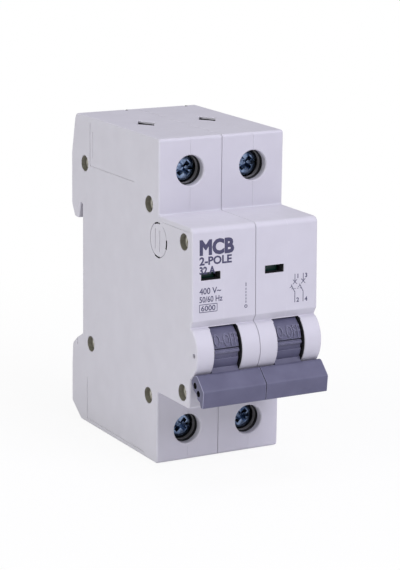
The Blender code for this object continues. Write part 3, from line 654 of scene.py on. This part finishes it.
def side_grooves(face, side):
    """The knock-out's ring, broken through in three places, and its two bars."""
    grooves = []
    cuts = ((116.0, 246.0, 0.3, 0.14), (246.0, 282.0, 0.9, 0.20), (282.0, 338.0, 0.3, 0.10),
            (338.0, 370.0, 0.9, 0.32), (370.0, 418.0, 0.3, 0.10), (440.0, 476.0, 0.9, 0.20))
    for start, end, deep, wide in cuts:
        low, high = sorted((face - side * deep, face + side * 0.3))
        ring = [(KNOCK_OUT_RADIUS - wide, -high), (KNOCK_OUT_RADIUS + wide, -high),
                (KNOCK_OUT_RADIUS + wide, -low), (KNOCK_OUT_RADIUS - wide, -low)]
        grooves.append(swept_sector(ring, side_frame(0.0, *TRIP_BAR), start + 0.1, end - 0.1, 20))
    low, high = sorted((face - side * 0.2, face + side * 0.3))
    for depth, foot, top in ((-1.65, -2.4, 2.8), (0.75, -2.9, 2.5)):
        middle = TRIP_BAR[0] + depth
        grooves.append(block(low, high, middle - 0.14, middle + 0.14, TRIP_BAR[1] + foot, TRIP_BAR[1] + top))
    return grooves


def panel_outlines(face, side):
    """The corners of two raised panels and a short line, and a slit over the latch."""
    low, high = sorted((face - side * 0.15, face + side * 0.3))
    line = 0.28
    upper = [(4.5, 81.8), (4.5, 70.4), (29.9, 70.4), (29.9, 70.4 + line), (4.5 + line, 70.4 + line),
             (4.5 + line, 81.8)]
    lower = [(2.8, 12.8), (2.8, 1.2), (36.0, 1.2), (36.0, 1.2 + line), (2.8 + line, 1.2 + line),
             (2.8 + line, 12.8)]
    short_line = block(low, high, 6.1, 6.1 + line * 0.8, 72.9, 79.8)
    slit = block(low, high, -3.15, -2.85, 20.4, 22.3)
    nose_line = block(low, high, SHOULDER_DEPTH + 2.5, NOSE_DEPTH - 1.6, NOSE_TOP - 1.25, NOSE_TOP - 1.1)
    return [prism(low, high, upper), prism(low, high, lower), short_line, slit, nose_line]


def housing_cutters(pole, x, outer_face):
    """Groups of cutters; the shapes inside one group don't touch each other."""
    inner = POLE_PITCH / 2 - SIDE_WALL - 0.15
    side = OUTER_SIDE[pole]
    large = [terminal_bore(x, row[0]) for row in TERMINALS.values()]
    for _, mouth, outward in TERMINALS.values():
        large.append(four_sided(x, mouth, outward, (FUNNEL_HALF, FUNNEL_HALF, -WIRE_ROOM_DEEP),
                                (FUNNEL_HALF, FUNNEL_HALF, -WIRE_EDGE_DEEP)))
    large.append(cross_rod(x - SLOT_HALF, x + SLOT_HALF, AXIS, DRUM_RADIUS + 0.3, 72))
    for face, direction in ((x - POLE_PITCH / 2 + 0.15, -1), (x + POLE_PITCH / 2 - 0.15, 1)):
        for center in RIVETS.values():
            large.append(rivet_recess(face, direction, center))
    funnel_top = (FUNNEL_HALF + 0.3, FUNNEL_HALF + 0.3, 0.1)
    small = [four_sided(x, mouth, outward, (*WIRE_HALF, -FUNNEL_DEEP), funnel_top)
             for _, mouth, outward in TERMINALS.values()]
    small += [drum_slot(x), window_pocket(x), cross_rod(x - 7.1, x + 7.1, AXIS, 2.1)]
    small.append(block(x + SLOT_HALF - 0.2, x + TRUNNION_REACH, AXIS[0] - 7.5, AXIS[0] - 3.0, 28.0, 38.0))
    small.append(block(x - 4.5, x + 4.5, -3.9, -1.6, -1.0, LATCH_ROOM_TOP))
    low, high = sorted((outer_face - side * 0.8, outer_face + side * 0.5))
    small.append(cross_rod(low, high, (62.2, AXIS[1]), 0.6, 20))
    small.append(block(x + 4.9, x + 5.7, REAR_DEPTH, -1.6, HEIGHT - 1.9, HEIGHT + 1.0))
    low, high = sorted((x - side * 5.0, x - side * (POLE_PITCH / 2 + 0.5)))
    pocket = [cross_rod(low, high, (TRIP_BAR[0], TRIP_BAR[1] + 0.7), 3.2)]
    pocket.append(cross_rod(x - 5.9, x - SLOT_HALF + 0.2, AXIS, 3.3))
    pocket.append(cross_rod(x + SLOT_HALF - 0.2, x + TRUNNION_REACH, AXIS, 6.2))
    pocket.append(block(x - 3.0, x + 3.0, REAR_DEPTH - 1.0, -3.0, -1.0, LATCH_ROOM_TOP))
    for _, mouth, outward in TERMINALS.values():
        pocket.append(four_sided(x, mouth, outward, (*WIRE_HALF, -WIRE_EDGE_DEEP - 0.2), (*WIRE_HALF, 0.2)))
    pocket += side_grooves(outer_face, side)
    lines = panel_outlines(outer_face, side)
    groups = [gather(group) for group in (large, small, pocket, lines)]
    return [prism(x - inner, x + inner, cavity_outline()), slot_top(x), *groups]


def shade_recesses(mesh, x):
    """Painted shade, by material index, on the walls of the deep recesses: near-black, a grey collar in each bore,
    and brownish rivet recess walls.
    """
    for face in mesh.polygons:
        across = face.center.x / MM
        depth = depth_of(face.center.y)
        height = face.center.z / MM
        behind_mouth = SHOULDER_DEPTH - depth
        for screw_height, mouth, _ in TERMINALS.values():
            from_screw = math.hypot(across - x, height - screw_height)
            if BORE_GROOVE[0] + 0.02 < behind_mouth < SCREW_BORE_DEEP + 0.1 and from_screw < 5.0:
                along_collar = BORE_GROOVE[1] - 0.02 < behind_mouth < BORE_COLLAR_END + 0.05
                in_collar = along_collar and from_screw < SCREW_BORE_RADIUS
                # Painted shade: near-black down the bore, grey on its collar.
                face.material_index = 2 if in_collar else 1
            # Painted shade in the wire entry below its edge.
            in_entry = abs(depth - WIRE_DEPTH) < FUNNEL_HALF + 0.1 and abs(across - x) < FUNNEL_HALF + 0.1
            if in_entry and WIRE_EDGE_DEEP - 0.05 < abs(height - mouth) < WIRE_ROOM_DEEP + 0.1:
                face.material_index = 1
        # Painted shade on the rivet recess walls.
        for center in RIVETS.values():
            near = math.hypot(depth - center[0], height - center[1]) < RIVET_RECESS_RADIUS + 0.02
            if near and abs(across - x) < POLE_PITCH / 2 - 0.25:
                face.material_index = 3
        # Painted shade in the rear notch, on the drum slot's walls and in the knock-out ring's groove.
        in_notch = abs(across - x - 5.3) < 0.42 and depth < -1.5 and height > HEIGHT - 2.0
        near_drum = math.dist((depth, height), AXIS) < CHEEK_RADIUS + 0.4
        in_slot = near_drum and abs(abs(across - x) - SLOT_HALF) < 0.03
        from_ring = abs(math.dist((depth, height), TRIP_BAR) - KNOCK_OUT_RADIUS)
        in_ring = from_ring < 0.4 and abs(abs(across) - OUTER + 0.45) < 0.15
        if in_notch or in_slot or in_ring:
            face.material_index = 1
        # Painted shade on the window pocket's walls.
        in_window = abs(across - x - WINDOW_X) < 2.8 and abs(height - WINDOW_HEIGHT) < 1.15
        if in_window and 0.0 < NOSE_DEPTH - depth < 2.6:
            face.material_index = 1


def make_housing(pole, x):
    """A pole's two half shells, with their cut-outs, finish and painted shade in the recesses."""
    half = POLE_PITCH / 2
    outline = housing_outline()
    side = OUTER_SIDE[pole]
    outer_face = side * OUTER
    spans = (("left", x - half + POLE_SEAM, x - SHELL_SEAM, -1),
             ("right", x + SHELL_SEAM, x + half - POLE_SEAM, 1))
    for label, low, high, face in spans:
        is_outer = face == side
        if is_outer:
            low, high = (outer_face, high) if side < 0 else (low, outer_face)
        rounded_face = low if face < 0 else high
        seam_face = high if face < 0 else low

        def weights(edge):
            if all(abs(v.co.x / MM - rounded_face) < 0.01 for v in edge.verts):
                return 1.0 if is_outer else 0.3
            on_seam = all(abs(v.co.x / MM - seam_face) < 0.01 for v in edge.verts)
            on_nose = any(depth_of(v.co.y) > SHOULDER_DEPTH + 0.7 for v in edge.verts)
            return 0.12 if on_seam and not on_nose else 0.0

        body = bevelled(prism(low, high, outline), 0.5, 4, weights=weights)
        shell = boolean_mesh(body, "DIFFERENCE", housing_cutters(pole, x, outer_face))
        piece = add_piece(f"{pole}_{label}_housing", shell, (HOUSING, PAINTED_SHADE_BLACK, COLLAR_SHADE_GREY, RIVET_RECESS_SHADE), "housing",
                          [f"{pole}_{label}_shell"])
        shade_recesses(piece.data, x)


# The toggles

def bar_outline():
    """The section of the handle bar, from the underside of the drum round the grip."""
    return [(AXIS[0] + 3.0, AXIS[1] - 4.5)] + rounded([
        (60.9, 26.2, 0.5), (62.2, 24.3, 0.3), (63.6, 23.6, 0.25), (64.1, 22.5, 0.3), (65.3, 22.0, 0.25),
        (65.8, 20.8, 0.3), (66.8, 20.8, 0.25), (67.2, 25.0, 0.9), (63.2, 28.9, 1.2),
    ], 4) + [(AXIS[0] + 4.5, AXIS[1] - 2.5)]


def drum_letters(text, x, middle):
    """Letters that stand proud of the drum, bent round it about an angle in degrees."""
    mesh = sliced(text_mesh(text, 3.3, 0.7, 0.04, 1.34 * len(text)), 0.3)
    for vertex in mesh.vertices:
        across, up, out = (value / MM for value in vertex.co)
        angle = math.radians(middle) + up / DRUM_RADIUS
        radius = DRUM_RADIUS - 0.07 + out
        vertex.co = place(x + across, AXIS[0] + radius * math.cos(angle), AXIS[1] + radius * math.sin(angle))
    mesh.update()
    return mesh


def sliced(mesh, pitch):
    """The mesh cut across its height every so often, so that it bends smoothly."""
    work = bmesh.new()
    work.from_mesh(mesh)
    reach = max(v.co.y for v in work.verts) / MM
    for i in range(1, int(2 * reach / pitch)):
        bmesh.ops.bisect_plane(work, geom=work.verts[:] + work.edges[:] + work.faces[:], dist=0.00000001,
                               plane_co=(0.0, (i * pitch - reach) * MM, 0.0), plane_no=(0.0, 1.0, 0.0))
    work.to_mesh(mesh)
    work.free()
    return mesh


def drum_groove(x, low, high, deep):
    """A groove along the drum, cut between two angles in degrees."""
    outline = arc(AXIS, DRUM_RADIUS + 0.4, low, high, 6)
    outline += arc(AXIS, DRUM_RADIUS - deep, high, low, 6)
    return prism(x - DRUM_HALF - 0.2, x + DRUM_HALF + 0.2, outline)


def drum_rib(x, start):
    """A low rib along the drum, from an angle in degrees."""
    end = start + 4.0
    outline = arc(AXIS, DRUM_RADIUS + 0.25, start + 0.5, end - 0.5, 3)
    outline += arc(AXIS, DRUM_RADIUS - 1.0, end, start, 3)
    return prism(x - DRUM_HALF + 0.05, x + DRUM_HALF - 0.05, outline)


def make_toggle(pole, x):
    """A drum with its letters, and this pole's half of the handle bar."""
    half = POLE_PITCH / 2 - BAR_SEAM
    low, high = x - half, x + half
    if OUTER_SIDE[pole] < 0:
        low = -OUTER
    else:
        high = OUTER
    toggle_materials = (TOGGLE, PAINTED_SHADE_BLACK, TOGGLE_EDGE_WEAR_AND_HIGHLIGHT)
    seam = low if OUTER_SIDE[pole] > 0 else high

    def weights(edge):
        return 0.0 if all(abs(v.co.x / MM - seam) < 0.01 for v in edge.verts) else 1.0

    # The bar's rounded strips take the paler edge colour: painted highlight, with some wear.
    bar = bevelled(prism(low, high, bar_outline()), 0.13, 2, weights=weights, materials=toggle_materials)
    drum = bevelled(cross_rod(x - DRUM_HALF, x + DRUM_HALF, AXIS, DRUM_RADIUS, 96), 0.12, 2)
    relief = gather([cross_rod(low - 1.0, x - SLOT_HALF + 0.15, AXIS, CHEEK_RADIUS + 0.3, 96),
                     cross_rod(x + SLOT_HALF - 0.15, high + 1.0, AXIS, CHEEK_RADIUS + 0.3, 96)])
    bar = boolean_mesh(bar, "DIFFERENCE", [relief])
    holes = [cross_rod(low - 1.0, high + 1.0, pin, BAR_PIN_HOLE, 24) for pin in BAR_PINS]
    holes.append(cross_rod(x + 1.6, x + DRUM_HALF + 1.0, polar(AXIS, 5.0, 139.0), 1.0, 24))
    grooves = [drum_groove(x, angle, angle + spread, deep)
               for base in (0.0, TOGGLE_SWING)
               for angle, spread, deep in ((base + 7.6, 3.4, 0.75), (base - 12.0, 11.5, 0.5))]
    body = boolean_mesh(bar, "UNION", [drum, cross_rod(x - 6.8, x + 6.8, AXIS, 1.8), drum_rib(x, 1.0)])
    body = boolean_mesh(body, "DIFFERENCE", [gather(holes), gather(grooves)])
    letters = gather([drum_letters("O-OFF", x, LETTER_ANGLE),
                      drum_letters("I-ON", x, LETTER_ANGLE + TOGGLE_SWING)])
    toggle = boolean_mesh(body, "UNION", [letters])
    piece = add_piece(pole + "_handle", toggle, toggle_materials, "toggles", [pole + "_toggle"])
    # Painted shade: the bar's pin holes take the near-black material.
    for face in piece.data.polygons:
        spot = (depth_of(face.center.y), face.center.z / MM)
        in_hole = min(math.dist(spot, pin) for pin in BAR_PINS) < BAR_PIN_HOLE + 0.05
        if in_hole and abs(face.center.x / MM) < OUTER - 0.05:
            face.material_index = 1


# Terminals, rivets and flags

def make_screw(pole, x, label, height):
    """A cheese-head screw with a combined slot and cross recess, and a threaded shank."""
    name = f"{pole}_{label}_screw"
    head = SCREW_HEAD_DEPTH
    back = head - 2.2
    tip = 24.4
    profile = [(0.0, head), (2.5, head), (2.85, head - 0.06), (3.12, head - 0.22), (3.3, head - 0.5),
               (SCREW_HEAD_RADIUS, head - 0.8), (SCREW_HEAD_RADIUS, back + 0.15), (3.2, back),
               (THREAD_ROOT_RADIUS, back)]
    depth = back - THREAD_PITCH / 2
    while depth > tip + 0.4:
        profile += [(THREAD_RADIUS, depth), (THREAD_ROOT_RADIUS, depth - THREAD_PITCH / 2)]
        depth -= THREAD_PITCH
    profile += [(1.8, tip), (0.0, tip)]
    frame_matrix = front_frame(x, 0.0, height)
    screw = turned(profile, frame_matrix, 64)
    slot = block(x - 3.6, x + 3.6, head - 1.0, head + 0.5, height - 0.48, height + 0.48)
    arms = []
    for turn in (0.0, 90.0):
        taper = [(-2.2, head + 0.3), (2.2, head + 0.3), (1.0, head - 1.9), (-1.0, head - 1.9)]
        arms.append(cross_arm(taper, x, height, turn))
    screw = bevelled(boolean_mesh(screw, "DIFFERENCE", [slot, *arms]), 0.09, 2, angle=50.0, clamp=True)
    add_piece(name.replace("_screw", "_terminal_screw"), screw, (ZINC,), name, [name])


def cross_arm(taper, x, height, turn):
    """One arm of a cross recess: a tapered web seen from the side, turned about the screw."""
    web = extrude_outline(taper, -0.55, 0.55, Matrix.Identity(4))
    placed = (front_frame(x, 0.0, height) @ Matrix.Rotation(math.radians(turn + 45.0), 4, "Z")
              @ Matrix.Rotation(math.radians(90), 4, "X"))
    web.transform(placed)
    return web


def make_rivet(name, center):
    """A tubular rivet with a rolled head at both ends."""
    reach = OUTER - 1.15
    half = [(0.0, reach - 1.3), (0.55, reach - 1.1), (0.7, reach - 0.12), (1.1, reach), (1.6, reach - 0.12),
            (1.8, reach - 0.35), (1.8, reach - 0.5), (1.1, reach - 0.55)]
    profile = half + [(radius, -height) for radius, height in reversed(half)]
    mesh = turned(profile, side_frame(0.0, *center), 40)
    add_piece(name + "_tubular", mesh, (RIVET_STEEL,), "housing", [name])


def make_flag(pole):
    """The two-colour flag behind a pole's window."""
    node = pole + "_indicator_flag"
    low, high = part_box(node)
    size = Vector(high) - Vector(low)
    work = bmesh.new()
    bmesh.ops.create_cube(work, size=1.0)
    bmesh.ops.scale(work, vec=size, verts=work.verts)
    bmesh.ops.translate(work, vec=node_center(node), verts=work.verts)
    mesh = bevelled(finish_bmesh(work), 0.15, 2)
    split = (WINDOW_HEIGHT - 2.1) * MM
    material = indicator_plastic(pole + "_flag_plastic", split)
    add_piece(pole + "_two_colour_flag", mesh, (material,), pole + "_flag", [node])


# The print on the front

def text_mesh(text, size, thick, embolden, width=None):
    """Letters as a closed mesh about its own middle, scaled to a width where one is given."""
    curve = bpy.data.curves.new("text", "FONT")
    curve.body = text
    curve.size = size * MM * 1.37
    curve.extrude = thick / 2 * MM
    curve.bevel_depth = embolden * MM
    curve.bevel_resolution = 0
    curve.resolution_u = 3
    item = bpy.data.objects.new("text", curve)
    bpy.context.scene.collection.objects.link(item)
    bpy.context.view_layer.update()
    graph = bpy.context.evaluated_depsgraph_get()
    mesh = bpy.data.meshes.new_from_object(item.evaluated_get(graph))
    bpy.data.objects.remove(item, do_unlink=True)
    work = bmesh.new()
    work.from_mesh(mesh)
    bmesh.ops.remove_doubles(work, verts=work.verts, dist=0.000002)
    bmesh.ops.recalc_face_normals(work, faces=work.faces)
    low = Vector(min(v.co[i] for v in work.verts) for i in range(3))
    high = Vector(max(v.co[i] for v in work.verts) for i in range(3))
    stretch = width * MM / (high.x - low.x) if width else 1.0
    flatten = thick * MM / (high.z - low.z)
    for vertex in work.verts:
        vertex.co -= (low + high) / 2
        vertex.co.x *= stretch
        vertex.co.z *= flatten
    work.to_mesh(mesh)
    work.free()
    return mesh


def printed(meshes, name):
    """The marks as one piece, laid on the nose's leaning front."""
    ink = gather(meshes)
    for vertex in ink.vertices:
        below_top = (NOSE_TOP - vertex.co.z / MM) / (NOSE_TOP - LIP_TOP)
        vertex.co.y -= NOSE_LEAN * below_top * MM
    add_piece(name, ink, (INK,), "housing")


def ink_bar(start, end, width):
    """A printed line between two (x, height) points on the nose's front."""
    a, b = Vector(start), Vector(end)
    along = (b - a).normalized()
    across = Vector((-along.y, along.x)) * width / 2
    outline = [tuple(a + across), tuple(a - across), tuple(b - across), tuple(b + across)]
    return extrude_outline(outline, -PRINT_THICK / 2, PRINT_THICK / 2, front_frame(0.0, NOSE_DEPTH, 0.0))


def words(text, x, height, size, embolden, width=None):
    """Printed letters about an (x, height) point on the nose's front."""
    mesh = text_mesh(text, size, PRINT_THICK, embolden, width)
    mesh.transform(front_frame(x, NOSE_DEPTH, height))
    return mesh


def make_print():
    """The generic words, ratings and marks on the front of the nose."""
    left = -OUTER
    dashes = left + 15.0
    marks = [
        words("MCB", left + 6.85, 59.3, 3.6, HEAVY, 9.6),
        words("2-POLE", left + 6.5, 56.0, 2.0, BOLD, 9.0),
        words("32 A", left + 4.2, 53.7, 1.8, BOLD, 4.4),
        words("400 V~", left + 5.0, 48.55, 1.6, LIGHT, 6.0),
        words("50/60 Hz", left + 5.2, 46.5, 1.5, LIGHT, 6.4),
        words("6000", left + 4.45, 44.3, 1.35, LIGHT, 4.0),
        words("I", dashes, 49.1, 0.9, MEDIUM),
        words("O", dashes, 43.65, 0.8, MEDIUM),
    ]
    box_left, box_right = left + 2.0, left + 6.9
    box_low, box_high = 43.35, 45.25
    corners = [(box_left, box_low), (box_right, box_low), (box_right, box_high), (box_left, box_high)]
    for i, corner in enumerate(corners):
        marks.append(ink_bar(corner, corners[(i + 1) % 4], 0.16))
    for i in range(5):
        foot = 44.5 + 0.8 * i
        marks.append(ink_bar((dashes, foot), (dashes, foot + 0.55), 0.2))
    printed(marks, "rating_print")


def make_circuit_symbol():
    """Two switch poles, each with its terminal numbers, coupled by a dashed line."""
    left = -OUTER
    marks = []
    for x, upper, lower in ((left + 29.0, "1", "2"), (left + 31.4, "3", "4")):
        marks += [
            ink_bar((x, 48.3), (x, 50.3), 0.18),
            ink_bar((x - 0.6, 47.7), (x + 0.6, 48.9), 0.16),
            ink_bar((x - 0.6, 48.9), (x + 0.6, 47.7), 0.16),
            ink_bar((x - 1.1, 47.7), (x, 45.7), 0.18),
            ink_bar((x, 45.7), (x, 43.1), 0.18),
            ink_bar((x - 1.5, 46.9), (x - 0.8, 47.3), 0.16),
            words(upper, x + 0.85, 49.7, 1.1, MEDIUM),
            words(lower, x + 0.85, 43.7, 1.1, MEDIUM),
        ]
    for i in range(4):
        start = left + 28.0 + i * 0.8
        marks.append(ink_bar((start, 46.6), (start + 0.45, 46.6), 0.13))
    printed(marks, "circuit_symbol")


# Everything that stays as the frame made it, with its own finish

def finish_inner_nodes():
    """A finish for each remaining node, from the end of its name."""
    endings = {
        COPPER: ("_conductor", "_fixed_contact", "_coil", "_braid", "_contact_arm"),
        BRASS: ("_bimetal_strip",),
        NYLON: ("_trip_lever", "_din_clip"),
        ZINC: ("_cage",),
        STEEL: ("_yoke", "_plunger", "_spring", "_arc_chute", "_pin", "_link", "_bar", "_1", "_2"),
    }
    for name, node in frame["nodes"].items():
        for material, tails in endings.items():
            if name.endswith(tails) and node.data.materials:
                node.material_slots[0].material = material


# The studio

def make_studio():
    """A white floor that still takes some shadow near the object, and the world behind it."""
    floor_material, nodes, links = new_material("studio_floor")
    shader = nodes["Principled BSDF"]
    shader.inputs["Base Color"].default_value = (0.9, 0.9, 0.9, 1.0)
    shader.inputs["Roughness"].default_value = 0.8
    coordinates = nodes.new("ShaderNodeTexCoord")
    distance = nodes.new("ShaderNodeVectorMath")
    distance.operation = "LENGTH"
    links.new(coordinates.outputs["Object"], distance.inputs[0])
    portion = remap(nodes, links, distance.outputs["Value"], 0.9, 1.0, 0.05, 0.2)
    glow = nodes.new("ShaderNodeEmission")
    glow.inputs["Color"].default_value = (1.0, 1.0, 1.0, 1.0)
    glow.inputs["Strength"].default_value = 1.0
    seen = nodes.new("ShaderNodeMath")
    seen.operation = "MULTIPLY"
    links.new(nodes.new("ShaderNodeLightPath").outputs["Is Camera Ray"], seen.inputs[0])
    links.new(portion, seen.inputs[1])
    blend = nodes.new("ShaderNodeMixShader")
    links.new(seen.outputs["Value"], blend.inputs["Fac"])
    links.new(shader.outputs["BSDF"], blend.inputs[1])
    links.new(glow.outputs["Emission"], blend.inputs[2])
    links.new(blend.outputs["Shader"], nodes["Material Output"].inputs["Surface"])
    work = bmesh.new()
    bmesh.ops.create_grid(work, x_segments=2, y_segments=2, size=3.0)
    bmesh.ops.translate(work, vec=(0.0, 0.0, CAD_BOX[0][2] - 0.0002), verts=work.verts)
    floor = bpy.data.objects.new("studio_floor", finish_bmesh(work))
    floor.data.materials.append(floor_material)
    bpy.context.scene.collection.objects.link(floor)
    make_world()


def make_world():
    """White where the camera sees it, and a soft fill light otherwise."""
    world = bpy.data.worlds.new("studio_world")
    bpy.context.scene.world = world
    world.use_nodes = True
    nodes = world.node_tree.nodes
    links = world.node_tree.links
    background = nodes["Background"]
    background.inputs["Color"].default_value = (1.0, 1.0, 1.0, 1.0)
    seen = nodes.new("ShaderNodeLightPath").outputs["Is Camera Ray"]
    links.new(remap(nodes, links, seen, 0.28, 1.0, 0.0, 1.0), background.inputs["Strength"])


def add_area_light(name, position, target, size, power, color=(1.0, 1.0, 1.0)):
    lamp = bpy.data.lights.new(name, "AREA")
    lamp.shape = "DISK"
    lamp.size = size
    lamp.energy = power
    lamp.color = color
    item = bpy.data.objects.new(name, lamp)
    item.location = position
    item.rotation_euler = (Vector(target) - Vector(position)).to_track_quat("-Z", "Y").to_euler()
    bpy.context.scene.collection.objects.link(item)


def make_lights():
    """Three soft lamps round the object, with their powers in watts."""
    middle = (0.0, 0.0, 0.04)
    add_area_light("front_softbox", (0.25, -0.78, 0.66), middle, 0.7, 6.7, (0.862, 0.835, 1.0))
    add_area_light("left_softbox", (-0.9, -0.1, 0.45), middle, 0.7, 4.4)
    add_area_light("top_softbox", (0.1, 0.0, 0.95), middle, 0.6, 2.3, (0.93, 0.91, 1.0))


def make_camera():
    """A long lens from the front left, a little above."""
    azimuth, elevation, roll = (math.radians(angle) for angle in CAMERA_ANGLES)
    target = Vector(CAMERA_TARGET)
    back = Vector((math.sin(azimuth) * math.cos(elevation), -math.cos(azimuth) * math.cos(elevation),
                   math.sin(elevation)))
    right = (-back).cross(Vector((0, 0, 1))).normalized()
    up = right.cross(-back).normalized()
    position = target + back * CAMERA_DISTANCE + right * CAMERA_OFFSET[0] + up * CAMERA_OFFSET[1]
    across = right * math.cos(roll) + up * math.sin(roll)
    upward = up * math.cos(roll) - right * math.sin(roll)
    camera = bpy.data.cameras.new("camera")
    camera.sensor_fit = "VERTICAL"
    camera.sensor_height = CAMERA_SENSOR
    camera.lens = CAMERA_LENS
    camera.clip_start = 0.01
    camera.clip_end = 20.0
    item = bpy.data.objects.new("camera", camera)
    bpy.context.scene.collection.objects.link(item)
    matrix = Matrix((across, upward, back)).transposed().to_4x4()
    matrix.translation = position
    item.matrix_world = matrix
    bpy.context.scene.camera = item


def set_view():
    bpy.context.scene.view_settings.view_transform = "Standard"


make_camera()
set_view()
make_studio()
make_lights()
for pole_name, pole_x in POLES.items():
    make_housing(pole_name, pole_x)
    make_toggle(pole_name, pole_x)
    make_flag(pole_name)
    for row_name, row in TERMINALS.items():
        make_screw(pole_name, pole_x, row_name, row[0])
for rivet_name, rivet_center in RIVETS.items():
    make_rivet(rivet_name, rivet_center)
make_print()
make_circuit_symbol()
finish_inner_nodes()
